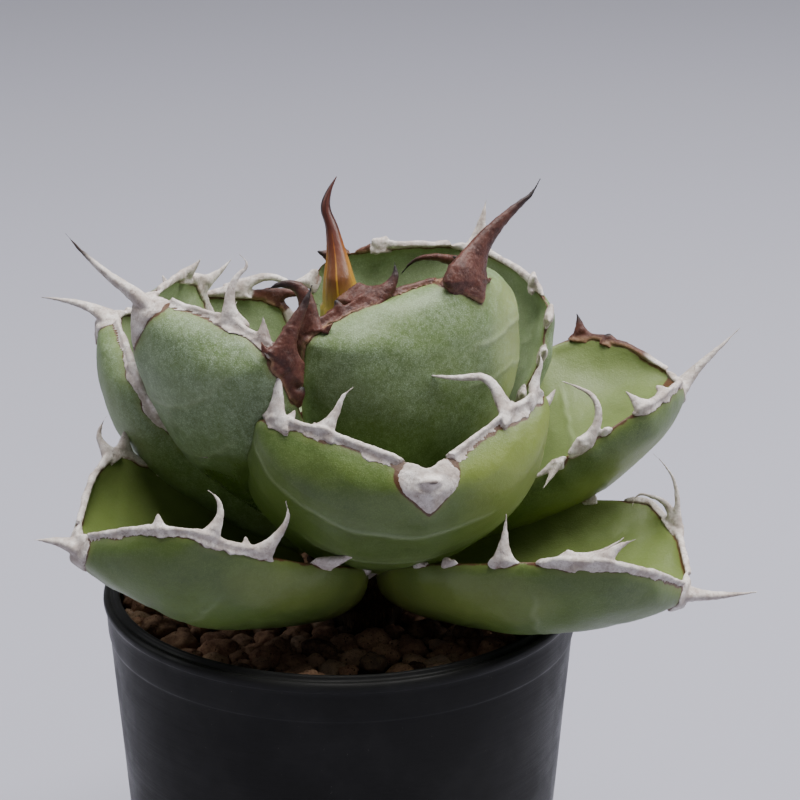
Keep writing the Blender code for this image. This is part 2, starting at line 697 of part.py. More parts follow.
def finish_dents(thing):
    """Applies a leaf's dents and drops the crumbs that a dent cuts loose from its thin edge."""
    cut = bmesh.new()
    cut.from_object(thing, bpy.context.evaluated_depsgraph_get())
    bmesh.ops.remove_doubles(cut, verts=cut.verts, dist=WELD)
    bmesh.ops.dissolve_degenerate(cut, edges=cut.edges, dist=WELD)
    unseen = set(cut.faces)
    bodies = []
    while unseen:
        body = set()
        front = [next(iter(unseen))]
        while front:
            face = front.pop()
            if face not in body:
                body.add(face)
                front.extend(f for e in face.edges if len(e.link_faces) == 2 for f in e.link_faces)
        unseen -= body
        bodies.append(body)
    largest = max(bodies, key=len)
    bmesh.ops.delete(cut, geom=[f for f in cut.faces if f not in largest], context="FACES")
    bmesh.ops.triangulate(cut, faces=cut.faces)
    thing.modifiers.clear()
    cut.to_mesh(thing.data)
    cut.free()


def make_leaves():
    made = {name: link(name, leaf_solid(shape), LEAF_GREEN, 0.5) for name, shape in LEAVES.items()}
    made["pot"] = bpy.data.objects["pot"]
    cutters = {}
    for name, neighbours in PRESSED.items():
        for other in neighbours:
            if other not in cutters:
                cutters[other] = grown_copy(made[other], "press_" + other)
            dent = made[name].modifiers.new("pressed_by_" + other, "BOOLEAN")
            dent.operation = "DIFFERENCE"
            dent.solver = "EXACT"
            dent.use_self = True
            dent.object = cutters[other]
    for name in PRESSED:
        finish_dents(made[name])


make_pot()
make_soil()
make_grains()
make_stem()
make_leaves()
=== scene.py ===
"""Looks of a potted agave: thick keeled leaves with an ash-white horny edge, on a short stem, in a round
black nursery pot that is filled with a coarse mix of porous grains.

Shapes are worked out in millimetres and written in metres.  s runs along a leaf from the stem 0 to the
tip 1, and t across it from the right edge -1 to the left edge 1.  Azimuths are in degrees from +X."""

import math
import random

import bmesh
import bpy
import numpy as np
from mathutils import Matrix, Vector, kdtree, noise


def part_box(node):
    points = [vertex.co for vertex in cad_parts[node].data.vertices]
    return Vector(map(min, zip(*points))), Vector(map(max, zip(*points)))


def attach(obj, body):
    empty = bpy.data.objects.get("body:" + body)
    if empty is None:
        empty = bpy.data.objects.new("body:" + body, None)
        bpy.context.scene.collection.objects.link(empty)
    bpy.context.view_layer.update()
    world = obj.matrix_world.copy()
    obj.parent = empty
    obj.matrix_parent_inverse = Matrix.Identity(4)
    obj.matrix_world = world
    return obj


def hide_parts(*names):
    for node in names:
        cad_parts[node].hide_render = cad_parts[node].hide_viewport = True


MM = 0.001

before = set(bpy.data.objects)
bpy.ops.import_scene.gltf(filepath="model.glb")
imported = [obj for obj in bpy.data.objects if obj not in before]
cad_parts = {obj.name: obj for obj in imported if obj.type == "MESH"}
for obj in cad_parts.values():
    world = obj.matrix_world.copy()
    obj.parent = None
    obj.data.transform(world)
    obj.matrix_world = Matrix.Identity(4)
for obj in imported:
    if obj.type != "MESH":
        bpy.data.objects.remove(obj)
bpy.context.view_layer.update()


def box_mm(node):
    low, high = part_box(node)
    return np.array(low) / MM, np.array(high) / MM


# ---- camera, floor and light -----------------------------------------------------------------------
CAMERA_AT = (0.0, -0.5515, 0.3164)
CAMERA_DOWN = 19.94         # degrees below level
CAMERA_TURN = 1.16          # degrees to the right
CAMERA_LENS = 142.2         # for a sensor 36 mm wide


def make_stage():
    camera = bpy.data.cameras.new("camera")
    camera.sensor_width = 36.0
    camera.lens = CAMERA_LENS
    camera.clip_start = 0.01
    seat = bpy.data.objects.new("camera", camera)
    seat.location = CAMERA_AT
    seat.rotation_euler = (math.radians(90 - CAMERA_DOWN), 0.0, -math.radians(CAMERA_TURN))
    bpy.context.scene.collection.objects.link(seat)
    bpy.context.scene.camera = seat

    floor_mesh = bmesh.new()
    bmesh.ops.create_grid(floor_mesh, x_segments=8, y_segments=8, size=4.0)
    floor = place("floor", floor_mesh, floor_material())

    world = bpy.data.worlds.new("room")
    bpy.context.scene.world = world
    world.use_nodes = True
    back = world.node_tree.nodes["Background"]
    back.inputs["Color"].default_value = (0.80, 0.81, 0.88, 1.0)
    back.inputs["Strength"].default_value = 0.19

    def soft_box(name, at, aim, size, power, colour):
        light = bpy.data.lights.new(name, "AREA")
        light.shape = "RECTANGLE"
        light.size = size[0]
        light.size_y = size[1]
        light.energy = power
        light.color = colour
        lamp = bpy.data.objects.new(name, light)
        lamp.location = at
        way = Vector(aim) - Vector(at)
        lamp.rotation_euler = way.to_track_quat("-Z", "Y").to_euler()
        bpy.context.scene.collection.objects.link(lamp)

    soft_box("light_above", (0.12, 0.08, 1.15), (0, 0, 0.09), (1.0, 0.8), 29.0, (1.0, 0.99, 0.97))
    soft_box("light_left", (-1.00, 0.25, 0.80), (0, 0, 0.10), (0.5, 0.6), 3.5, (0.98, 0.99, 1.0))
    soft_box("light_right", (1.00, 0.15, 0.80), (0, 0, 0.10), (0.5, 0.6), 10.0, (1.0, 1.0, 1.0))


# ---- node helpers ----------------------------------------------------------------------------------
class Nodes:
    """Short names for building one material's node tree."""

    def __init__(self, name):
        self.material = bpy.data.materials.new(name)
        self.material.use_nodes = True
        self.tree = self.material.node_tree
        self.shader = self.tree.nodes["Principled BSDF"]
        self.out = self.tree.nodes["Material Output"]
        self.place = self.node("ShaderNodeTexCoord").outputs["Object"]

    def node(self, kind, **settings):
        made = self.tree.nodes.new(kind)
        for key, value in settings.items():
            setattr(made, key, value)
        return made

    def link(self, source, target):
        if isinstance(source, (int, float)):
            target.default_value = source
        elif isinstance(source, tuple):
            target.default_value = (*source, 1.0) if len(source) == 3 else source
        else:
            self.tree.links.new(source, target)

    def attribute(self, name):
        return self.node("ShaderNodeAttribute", attribute_name=name).outputs["Fac"]

    def math(self, operation, a, b=0.0, clamp=False):
        made = self.node("ShaderNodeMath", operation=operation, use_clamp=clamp)
        self.link(a, made.inputs[0])
        self.link(b, made.inputs[1])
        return made.outputs[0]

    def times(self, a, b, clamp=False):
        return self.math("MULTIPLY", a, b, clamp)

    def plus(self, a, b, clamp=False):
        return self.math("ADD", a, b, clamp)

    def less(self, a, b):
        return self.math("SUBTRACT", a, b)

    def shaken(self, value, texture, share):
        """A value moved up and down by a share of a texture that lies around a half."""
        return self.plus(value, self.times(self.less(texture, 0.5), share))

    def stretch(self, x, y, z):
        """The object's own places, scaled along each way."""
        made = self.node("ShaderNodeMapping")
        self.link(self.place, made.inputs["Vector"])
        made.inputs["Scale"].default_value = (x, y, z)
        return made.outputs[0]

    def noise(self, per_mm, detail=4.0, rough=0.55, place=None, distort=0.0):
        made = self.node("ShaderNodeTexNoise")
        self.link(place or self.place, made.inputs["Vector"])
        made.inputs["Scale"].default_value = per_mm / MM
        made.inputs["Detail"].default_value = detail
        made.inputs["Roughness"].default_value = rough
        made.inputs["Distortion"].default_value = distort
        return made.outputs["Fac"]

    def cells(self, per_mm, feature="F1"):
        """Distance to the middle, or to the edge, of cells of a given number per millimetre."""
        made = self.node("ShaderNodeTexVoronoi", feature=feature)
        self.link(self.place, made.inputs["Vector"])
        made.inputs["Scale"].default_value = per_mm / MM
        return made.outputs["Distance"]

    def ramp(self, value, *stops):
        """Stops are (place, colour)."""
        made = self.node("ShaderNodeValToRGB")
        self.link(value, made.inputs["Fac"])
        ramp = made.color_ramp
        while len(ramp.elements) < len(stops):
            ramp.elements.new(0.5)
        for element, (at, colour) in zip(ramp.elements, stops):
            element.position = at
            element.color = (*colour, 1.0)
        return made.outputs["Color"]

    def span(self, value, low, high, to_low=0.0, to_high=1.0, smooth=True):
        made = self.node("ShaderNodeMapRange", clamp=True)
        if smooth:
            made.interpolation_type = "SMOOTHSTEP"
        self.link(value, made.inputs["Value"])
        for key, number in (("From Min", low), ("From Max", high), ("To Min", to_low), ("To Max", to_high)):
            made.inputs[key].default_value = number
        return made.outputs["Result"]

    def mix(self, share, a, b, blend="MIX"):
        made = self.node("ShaderNodeMix", data_type="RGBA", blend_type=blend)
        self.link(share, made.inputs["Factor"])
        self.link(a, made.inputs["A"])
        self.link(b, made.inputs["B"])
        return made.outputs["Result"]

    def bump(self, height, distance_mm, strength=1.0, below=None):
        made = self.node("ShaderNodeBump")
        made.inputs["Strength"].default_value = strength
        made.inputs["Distance"].default_value = distance_mm * MM
        self.link(height, made.inputs["Height"])
        if below is not None:
            self.link(below, made.inputs["Normal"])
        return made.outputs["Normal"]

    def finish(self, colour, roughness, normal=None, **plain):
        self.link(colour, self.shader.inputs["Base Color"])
        self.link(roughness, self.shader.inputs["Roughness"])
        if normal is not None:
            self.link(normal, self.shader.inputs["Normal"])
        for key, value in plain.items():
            self.shader.inputs[key.replace("_", " ")].default_value = value
        return self.material


def place(name, solid, material, smooth=True):
    """An object in metres from a bmesh, or from (points, faces) in metres."""
    mesh = bpy.data.meshes.new(name)
    if isinstance(solid, bmesh.types.BMesh):
        solid.to_mesh(mesh)
        solid.free()
    else:
        points, faces = solid
        mesh.from_pydata([tuple(p) for p in points], [], faces)
    mesh.update()
    mesh.polygons.foreach_set("use_smooth", [smooth] * len(mesh.polygons))
    mesh.materials.append(material)
    thing = bpy.data.objects.new(name, mesh)
    bpy.context.scene.collection.objects.link(thing)
    return thing


def set_attribute(thing, name, values):
    made = thing.data.attributes.new(name, "FLOAT", "POINT")
    made.data.foreach_set("value", np.asarray(values, np.float32))


# ---- materials -------------------------------------------------------------------------------------
def floor_material():
    n = Nodes("pale_floor")
    cloud = n.noise(0.004, 2.0)
    parts = n.node("ShaderNodeSeparateXYZ")
    n.link(n.place, parts.inputs[0])
    near = n.mix(cloud, (0.336, 0.334, 0.398), (0.350, 0.348, 0.414))
    # painted shade: the paper is painted a little darker towards the back of the table, standing in for the
    # light falling off there
    return n.finish(n.mix(n.span(parts.outputs["Y"], 0.10, 1.30, 0.0, 1.0), near, (0.228, 0.228, 0.275)),
                    0.85)


def pot_material():
    n = Nodes("black_nursery_plastic")
    # fine lathe-like rings of the mould, dust and faint scuffs
    stretched = n.stretch(0.05, 0.05, 1.0)
    rings = n.noise(1.6, 3.0, 0.6, stretched)
    wide_rings = n.noise(0.28, 2.0, 0.5, stretched)
    grain = n.noise(5.0, 3.0, 0.6)
    dust = n.cells(1.5)
    specks = n.span(dust, 0.05, 0.11, 1.0, 0.0)
    chosen = n.span(n.noise(0.8, 3.0), 0.58, 0.66)
    specks = n.times(specks, chosen)
    haze = n.span(n.noise(0.05, 4.0, 0.6), 0.40, 0.72)
    colour = n.mix(haze, (0.0160, 0.0160, 0.0156), (0.0240, 0.0240, 0.0236))
    colour = n.mix(n.times(specks, 0.35), colour, (0.30, 0.27, 0.24))
    rough = n.span(n.noise(0.12, 5.0, 0.65), 0.3, 0.7, 0.30, 0.44)
    rough = n.plus(rough, n.times(specks, 0.3))
    height = n.plus(n.times(rings, 0.35), n.times(wide_rings, 1.0))
    height = n.plus(height, n.times(grain, 0.12))
    return n.finish(colour, rough, n.bump(height, 0.16, 0.8), Specular_IOR_Level=0.07)


def grain_material():
    n = Nodes("porous_fired_grain")
    own = n.attribute("shade")
    kind = n.attribute("kind")
    body = n.ramp(kind, (0.0, (0.085, 0.042, 0.030)), (0.30, (0.17, 0.085, 0.052)),
                  (0.55, (0.25, 0.140, 0.085)),
                  (0.80, (0.36, 0.250, 0.170)), (1.0, (0.050, 0.028, 0.020)))
    blotch = n.noise(0.55, 5.0, 0.6)
    body = n.mix(n.span(blotch, 0.35, 0.75, 0.0, 0.65), body, (0.42, 0.26, 0.150))
    fine = n.noise(3.2, 4.0, 0.7)
    body = n.mix(n.span(fine, 0.52, 0.70, 0.0, 0.55), body, (0.020, 0.012, 0.009))
    # pores and pin holes: the pits are bumped in below, and their near-black colour is painted shade inside
    # them
    pores = n.cells(1.5)
    hole = n.span(pores, 0.10, 0.34, 1.0, 0.0)
    small = n.cells(4.5)
    pin = n.span(small, 0.12, 0.30, 1.0, 0.0)
    keep = n.span(n.noise(0.9, 3.0), 0.45, 0.60)
    hole = n.times(hole, keep)
    dark = n.plus(n.times(hole, 0.75), n.times(pin, 0.30), clamp=True)
    body = n.mix(dark, body, (0.016, 0.009, 0.006))
    dust = n.span(n.noise(7.0, 3.0, 0.7), 0.60, 0.78)
    body = n.mix(n.times(dust, 0.5), body, (0.62, 0.48, 0.34))
    # shade sets a brightness factor: random from grain to grain, and on the mix body low enough to make it
    # much darker than the grains, which is painted shade in the gaps between them
    bright = n.span(own, -0.4, 1.0, 0.10, 1.45, smooth=False)
    lit = n.mix(1.0, body, bright, "MULTIPLY")
    height = n.less(n.times(fine, 0.7), n.times(hole, 1.0))
    height = n.less(height, n.times(pin, 0.5))
    return n.finish(lit, 0.92, n.bump(height, 0.45, 0.9), Specular_IOR_Level=0.25)


def stem_material():
    n = Nodes("dry_leaf_bases_and_painted_shade")
    # dry leaf-base fibres painted very dark, with darker patches: partly their own brown, partly painted
    # shade for the neck that sits in the shade under the leaves
    fibre = n.noise(1.8, 5.0, 0.7, n.stretch(1.0, 1.0, 0.25), 0.4)
    patch = n.noise(0.25, 4.0)
    colour = n.ramp(fibre, (0.25, (0.020, 0.011, 0.006)), (0.50, (0.075, 0.040, 0.020)),
                    (0.70, (0.20, 0.125, 0.060)), (0.85, (0.33, 0.24, 0.13)))
    colour = n.mix(n.span(patch, 0.45, 0.65, 0.0, 0.6), colour, (0.022, 0.020, 0.012))
    return n.finish(colour, 0.85, n.bump(fibre, 0.5, 0.9), Specular_IOR_Level=0.3)


def blade_material():
    """Leaf flesh: green under a granular bloom, with bud prints, yellow bases and a thin brown edge."""
    n = Nodes("agave_flesh")
    border = n.attribute("border")
    outer = n.attribute("outer")
    yellow = n.attribute("yellow")
    rubbed = n.attribute("rubbed")
    prints = n.attribute("print")
    bloom_share = n.attribute("bloom")
    cloud = n.noise(0.055, 4.0, 0.55)
    mottle = n.noise(0.28, 5.0, 0.62)
    fine = n.noise(1.2, 4.0, 0.6)
    # flesh under the bloom
    flesh = n.mix(n.span(cloud, 0.36, 0.64), (0.034, 0.072, 0.010), (0.066, 0.118, 0.016))
    flesh = n.mix(n.span(mottle, 0.40, 0.62, 0.0, 0.5), flesh, (0.040, 0.084, 0.014))
    golden = n.times(yellow, n.span(mottle, 0.25, 0.70, 0.88, 1.05, smooth=False))
    flesh = n.mix(n.math("MINIMUM", golden, 1.0), flesh, (0.270, 0.315, 0.060))
    # bloom: a pale waxy film, broken up into grains, thinner where the leaf was rubbed
    film = n.times(n.span(mottle, 0.30, 0.66, 0.55, 1.0), bloom_share)
    film = n.times(film, n.span(rubbed, 0.0, 1.0, 1.0, 0.12, smooth=False))
    stipple = n.cells(3.4)
    dots = n.span(stipple, 0.16, 0.52, 1.0, 0.0)
    stipple_two = n.cells(7.0)
    dots_two = n.span(stipple_two, 0.20, 0.55, 1.0, 0.0)
    broken = n.plus(n.times(dots, 0.42), n.times(dots_two, 0.22))
    broken = n.plus(broken, n.times(n.span(fine, 0.35, 0.65), 0.26))
    wax = n.times(film, n.plus(broken, 0.22), clamp=True)
    powder = n.mix(n.span(bloom_share, 0.55, 1.10), (0.262, 0.345, 0.135), (0.315, 0.405, 0.265))
    colour = n.mix(wax, flesh, powder)
    # bud prints: paler curved lines where an edge was pressed while the leaf was still in the heart
    colour = n.mix(n.times(prints, 0.34, clamp=True), colour, (0.40, 0.47, 0.29))
    # dark pin marks
    pricks = n.cells(0.55)
    prick = n.span(pricks, 0.030, 0.075, 1.0, 0.0)
    prick = n.times(prick, n.span(n.noise(0.35, 2.0), 0.52, 0.60))
    colour = n.mix(n.times(prick, 0.75), colour, (0.020, 0.035, 0.012))
    # the inner face is fresher and a little yellower
    fresh = n.mix(n.span(bloom_share, 0.35, 0.95), (0.165, 0.200, 0.062), (0.315, 0.390, 0.205))
    colour = n.mix(n.times(n.less(1.0, outer), 0.46), colour, fresh)
    # margin: a yellow-green rim, then a thin red-brown line against the horn
    rim = n.span(border, 0.1, 1.7, 0.55, 0.0)
    colour = n.mix(rim, colour, (0.160, 0.205, 0.055))
    wobble = n.shaken(border, fine, 0.5)
    line = n.span(wobble, 0.02, 0.36, 0.92, 0.0)
    colour = n.mix(line, colour, (0.085, 0.026, 0.014))
    rough = n.span(wax, 0.0, 0.6, 0.34, 0.60, smooth=False)
    rough = n.less(rough, n.times(rubbed, 0.12))
    height = n.plus(n.times(broken, 0.5), n.times(fine, 0.3))
    height = n.plus(height, n.times(prints, 0.8))
    low = n.bump(mottle, 0.25, 0.45)
    made = n.finish(colour, rough, n.bump(height, 0.07, 0.75, low), Specular_IOR_Level=0.42)
    n.shader.inputs["Subsurface Weight"].default_value = 0.06
    n.shader.inputs["Subsurface Radius"].default_value = (0.4, 1.0, 0.2)
    n.shader.inputs["Subsurface Scale"].default_value = 0.001
    return made


def horn_material():
    """Horny edge, teeth and spines: ash white with specks when old, red-brown to black when young."""
    n = Nodes("agave_horn")
    tip = n.attribute("tip")
    young = n.attribute("young")
    border = n.attribute("border")
    dark_tip = n.attribute("dark_tip")
    cloud = n.noise(0.35, 5.0, 0.65)
    fine = n.noise(2.2, 5.0, 0.7)
    grit = n.noise(6.5, 4.0, 0.7)
    old = n.mix(n.span(cloud, 0.35, 0.68), (0.43, 0.365, 0.330), (0.74, 0.690, 0.660))
    old = n.mix(n.span(fine, 0.48, 0.72, 0.0, 0.72), old, (0.36, 0.275, 0.235))
    specks = n.cells(2.6)
    speck = n.span(specks, 0.06, 0.17, 1.0, 0.0)
    speck = n.times(speck, n.span(n.noise(0.9, 3.0), 0.48, 0.60))
    crack = n.span(n.cells(0.9, "DISTANCE_TO_EDGE"), 0.0, 0.035, 1.0, 0.0)
    crack = n.times(crack, n.span(n.noise(0.6, 3.0), 0.50, 0.62))
    marks = n.plus(n.times(speck, 0.8), n.times(crack, 0.55), clamp=True)
    old = n.mix(marks, old, (0.100, 0.055, 0.040))
    low_edge = n.span(border, 0.0, 0.55, 0.75, 0.0)
    old = n.mix(low_edge, old, (0.23, 0.115, 0.085))
    dusk = n.span(n.shaken(dark_tip, cloud, 0.35), 0.35, 0.95)
    old = n.mix(dusk, old, (0.045, 0.026, 0.022))
    # young horn
    fresh = n.mix(n.span(cloud, 0.35, 0.65), (0.048, 0.014, 0.011), (0.105, 0.034, 0.024))
    fresh = n.mix(n.span(fine, 0.45, 0.72, 0.0, 0.5), fresh, (0.170, 0.080, 0.054))
    lower = n.span(n.shaken(border, fine, 1.2), 0.1, 1.3, 0.75, 0.0)
    fresh = n.mix(lower, fresh, (0.33, 0.195, 0.115))
    fresh = n.mix(n.times(speck, 0.5), fresh, (0.030, 0.012, 0.010))
    fresh = n.mix(n.span(tip, 0.45, 0.95), fresh, (0.014, 0.010, 0.012))
    colour = n.mix(n.span(n.shaken(young, cloud, 0.3),
                          0.30, 0.70), old, fresh)
    rough = n.span(young, 0.0, 1.0, 0.62, 0.42, smooth=False)
    height = n.plus(n.times(fine, 0.7), n.times(grit, 0.35))
    height = n.less(height, n.times(marks, 0.8))
    return n.finish(colour, rough, n.bump(height, 0.16, 0.8), Specular_IOR_Level=0.35)


def bud_material():
    """The rolled youngest leaves: yellow-olive below, orange, then red-brown to a black point."""
    n = Nodes("agave_bud")
    s = n.attribute("s")
    t = n.attribute("t")
    fine = n.noise(1.4, 5.0, 0.65)
    wander = n.shaken(s, fine, 0.10)
    colour = n.ramp(wander, (0.48, (0.150, 0.190, 0.040)), (0.60, (0.34, 0.25, 0.035)),
                    (0.71, (0.44, 0.21, 0.025)),
                    (0.79, (0.260, 0.075, 0.016)), (0.84, (0.070, 0.020, 0.013)),
                    (0.90, (0.014, 0.009, 0.010)))
    front = n.less(2.0, n.math("ABSOLUTE", t))
    wedge = n.shaken(front, fine, 0.3)
    stripe = n.span(wedge, 0.35, 0.85, 1.0, 0.0)
    stripe = n.times(stripe, n.span(s, 0.56, 0.70))
    colour = n.mix(n.times(stripe, 0.85), colour, (0.095, 0.022, 0.014))
    lines = n.noise(2.2, 4.0, 0.6, n.stretch(1.0, 1.0, 0.12))
    colour = n.mix(n.span(lines, 0.52, 0.72, 0.0, 0.4), colour, (0.055, 0.022, 0.012))
    return n.finish(colour, 0.36, n.bump(lines, 0.12, 0.7), Specular_IOR_Level=0.5)


# ---- leaf shapes -----------------------------------------------------------------------------------
POT_LOW, POT_HIGH = box_mm("pot")
SOIL_LOW, SOIL_HIGH = box_mm("soil")
STEM_LOW, STEM_HIGH = box_mm("stem")
STEM_RADIUS = 11.0
STEM_RISE = 17.0
CROWN = np.array([(STEM_LOW[0] + STEM_HIGH[0]) / 2, (STEM_LOW[1] + STEM_HIGH[1]) / 2,
                  STEM_HIGH[2] - STEM_RISE])
MARGIN = 1.3            # thickness of the flesh at the edge, in millimetres
INNER_SHARE = 0.7       # width of the horn on the inner face against the outer face
PATCH_SLOPE = 0.75      # how fast the horn under the end spine narrows down the keel
# share of the length against share of the half width, for a pointed and for a blunt leaf
POINTED = ((0.0, 0.34), (0.15, 0.56), (0.35, 0.84), (0.58, 1.00), (0.78, 0.86), (0.92, 0.50), (1.0, 0.12))
BLUNT = ((0.0, 0.34), (0.15, 0.54), (0.35, 0.78), (0.60, 0.96), (0.80, 1.00), (0.93, 0.68), (1.0, 0.13))
FULLNESS = ((0.0, 0.06), (0.16, 0.22), (0.34, 0.16), (0.60, 0.0), (1.0, 0.0))
SECTION = ((0.0, 0.38), (0.20, 0.66), (0.55, 1.00), (0.82, 0.72), (1.0, 0.30))


def along(knots, x):
    """Smooth curve through the knots that never overshoots them."""
    xs, ys = np.array(knots, float).T
    x = np.clip(np.asarray(x, float), xs[0], xs[-1])
    h = np.diff(xs)
    d = np.diff(ys) / h
    slope = np.concatenate([d[:1], np.zeros(len(xs) - 2), d[-1:]])
    for i in range(1, len(xs) - 1):
        if d[i - 1] * d[i] > 0:
            slope[i] = 2 * d[i - 1] * d[i] / (d[i - 1] + d[i])
    k = np.clip(np.searchsorted(xs, x, side="right") - 1, 0, len(xs) - 2)
    u = (x - xs[k]) / h[k]
    return ((2 * u**3 - 3 * u**2 + 1) * ys[k] + (u**3 - 2 * u**2 + u) * h[k] * slope[k]
            + (3 * u**2 - 2 * u**3) * ys[k + 1] + (u**3 - u**2) * h[k] * slope[k + 1])


def smooth_step(low, high, x):
    u = np.clip((np.asarray(x, float) - low) / (high - low), 0, 1)
    return u * u * (3 - 2 * u)


def waves(x, seed, size):
    """Smooth noise of one number, about -1 to 1."""
    return np.array([noise.noise((float(v) / size, seed * 7.31, seed * 1.77)) * 1.6 for v in np.ravel(x)]
                    ).reshape(np.shape(x))


def lumps(points, seed, size):
    """Smooth noise of points, about -1 to 1."""
    flat = np.reshape(points, (-1, 3)) / size + seed * 5.37
    return np.array([noise.noise(p) * 1.6 for p in flat]).reshape(np.shape(points)[:-1])


def unit(v):
    return v / np.maximum(np.linalg.norm(v, axis=-1, keepdims=True), 1e-9)


class Tooth:
    """One tooth: place along the leaf, width of its root and length in mm, lean to the inner side, lean to
    the tip, how far it curls to the tip and to the inner side on its way, and a last hook (degrees).
    A tooth at the front is given by its path instead: the ways it takes one after the other as seen from
    the front (0 is right, 90 up, 180 left), and how far it turns to the back (degrees)."""

    def __init__(self, at, root, size, inward=10, lean=0, curl=0, turn=0, hook=0, fat=1.0):
        self.at = at
        self.root = root
        self.size = size
        self.path = inward if isinstance(inward, tuple) else None
        self.inward = inward
        self.lean = lean
        self.curl = curl
        self.turn = turn
        self.hook = hook
        self.fat = fat


class Leaf:
    """One leaf as a surface in millimetres."""

    STEPS = 300

    def __init__(self, azimuth, latitude, length, half_width, rise, thickness=9.0, cup=(60, 58, 72),
                 blunt=0.5,
                 full=0.0, sweep=0.0, roll=0.0, spine=(13.0, 0.0, 0.0), left=(), right=(), band=(0.68, 0.68),
                 width=2.0, tip_patch=5.0, seed=1, young=(), dark=0.3, bloom=0.8, yellow=(), rubbed=(),
                 prints=(), spine_fat=1.0, flare=2.6, foot=1.55, keel=0.6):
        self.length = length
        self.half_width = half_width
        self.thickness = thickness
        self.cup = cup
        self.blunt = blunt
        self.full = full
        self.spine = spine
        self.teeth = {1: [Tooth(*x) for x in left], -1: [Tooth(*x) for x in right]}
        self.band = {1: band[0], -1: band[1]}
        self.width = width
        self.tip_patch = tip_patch
        self.seed = seed
        self.young = young
        self.dark = dark
        self.bloom = bloom
        self.yellow = yellow
        self.rubbed = rubbed
        self.prints = prints
        self.spine_fat = spine_fat
        self.flare = flare
        self.foot = foot
        self.keel = keel
        lat = math.radians(latitude)
        azim = math.radians(azimuth)
        foot = CROWN + np.array([math.cos(lat) * math.cos(azim) * STEM_RADIUS,
                                 math.cos(lat) * math.sin(azim) * STEM_RADIUS, math.sin(lat) * STEM_RISE])
        s = np.linspace(0, 1, self.STEPS + 1)
        az = np.radians(azimuth + sweep * along(((0.0, 0.0), (0.5, 0.85), (1.0, 1.0)), s))
        e = np.radians(along(((0.0, rise[0]), (0.5, rise[1]), (1.0, rise[2])), s))
        ahead = np.stack([np.cos(e) * np.cos(az), np.cos(e) * np.sin(az), np.sin(e)], axis=1)
        left_way = np.stack([-np.sin(az), np.cos(az), np.zeros_like(az)], axis=1)
        inner = np.cross(ahead, left_way)
        r = np.radians(roll * s)[:, None]
        steps = (ahead[1:] + ahead[:-1]) * (0.5 * length / self.STEPS)
        self.s = s
        half = self.half(s)
        self.walked = np.concatenate([[0.0], np.cumsum(np.hypot(np.diff(s) * length, np.diff(half)))])
        self.tracks = [foot + np.concatenate([np.zeros((1, 3)), np.cumsum(steps, axis=0)]), ahead,
                       left_way * np.cos(r) + inner * np.sin(r), inner * np.cos(r) - left_way * np.sin(r)]

    def walk(self, s):
        """Millimetres from the stem along the edge."""
        return np.interp(s, self.s, self.walked)

    def frame(self, s):
        """Centre, and the ways ahead, to the left and to the inner side."""
        s = np.asarray(s, float)
        found = [np.stack([np.interp(s, self.s, track[:, i]) for i in range(3)], axis=-1)
                 for track in self.tracks]
        return [found[0]] + [unit(v) for v in found[1:]]

    def half(self, s):
        share = (1 - self.blunt) * along(POINTED, s) + self.blunt * along(BLUNT, s)
        return self.half_width * (share + self.full * along(FULLNESS, s))

    def fold(self, s):
        return np.radians(along(((0.0, self.cup[0]), (0.5, self.cup[1]), (1.0, self.cup[2])), s))

    def edge_wave(self, s, side):
        """How far one edge stands out past the plain outline: a shoulder under each tooth, and a waver."""
        mm = self.walk(s)
        out = 0.35 * waves(mm, self.seed + side * 0.4, 5.0) * smooth_step(0.1, 0.35, s)
        for tooth in self.teeth[side]:
            reach = 0.62 * tooth.root + 0.7
            out = out + 0.17 * tooth.root * np.exp(-((mm - self.walk(tooth.at)) / reach)**2)
        return out * smooth_step(1.0, 0.93, s)

    def point(self, s, t, down, lift=0.0):
        """A point of the inner face (down 0) or outer face (down 1), lifted off it by some millimetres."""
        s, t, down = np.broadcast_arrays(np.asarray(s, float), np.asarray(t, float), np.asarray(down, float))
        centre, _, left_way, inner = self.frame(s)
        shoulder = np.where(t > 0, self.edge_wave(s, 1), self.edge_wave(s, -1)) * np.abs(t)**5
        a = self.half(s) + shoulder
        phi = self.fold(s)
        u = a * np.sin(phi * t) / phi
        v = a * (1 - np.cos(phi * t)) / phi
        edge = np.clip(1 - np.abs(t)**2.2, 0, 1)
        body = self.thickness * along(SECTION, s) * edge**0.75
        rim = MARGIN * np.minimum(1.0, a / 4) * np.clip(1 - np.abs(t)**14, 0, 1)**0.5
        deep = down * body + (down - 0.5) * rim + 0.5 * MARGIN * np.minimum(1.0, a / 4)
        keel = self.keel * np.exp(-(t / 0.07)**2) * smooth_step(0.62, 0.9, s) * down
        deep = deep + keel + lift * (2 * down - 1)
        u = u + deep * np.sin(phi * t)
        v = v - deep * np.cos(phi * t)
        return centre + left_way * u[..., None] + inner * v[..., None]

    def outward(self, s, side):
        """Way out of the edge in the leaf's surface, and the way to its inner side."""
        _, ahead, left_way, inner = self.frame(s)
        phi = (self.fold(s) * side)[..., None]
        out = (left_way * np.cos(phi) + inner * np.sin(phi)) * side
        return unit(out), unit(inner * np.cos(phi) - left_way * np.sin(phi)), ahead

    def rim(self, s, side):
        """Points of the edge, the way straight out of it in the leaf's surface, the way to its inner
        side, and the cosine and sine of its slant."""
        s = np.asarray(s, float)
        step = 0.002
        before, after = np.clip(s - step, 0, 1), np.clip(s + step, 0, 1)
        run = (after - before) * self.length
        rise = self.half(after) - self.half(before)
        size = np.hypot(run, rise)
        out, inward, ahead = self.outward(s, side)
        way = out * (run / size)[..., None] - ahead * (rise / size)[..., None]
        return self.point(s, side, 0.5), unit(way), inward, run / size, rise / size

    def inland(self, s, side, reach):
        """Places (s, t) that lie some millimetres straight in from the edge."""
        _, _, _, cosine, sine = self.rim(s, side)
        x = s * self.length + sine * reach
        y = self.half(s) - cosine * reach
        x = np.clip(x, 0, self.length)
        return x / self.length, side * np.clip(y, 0, None) / np.maximum(self.half(x / self.length), 0.3)

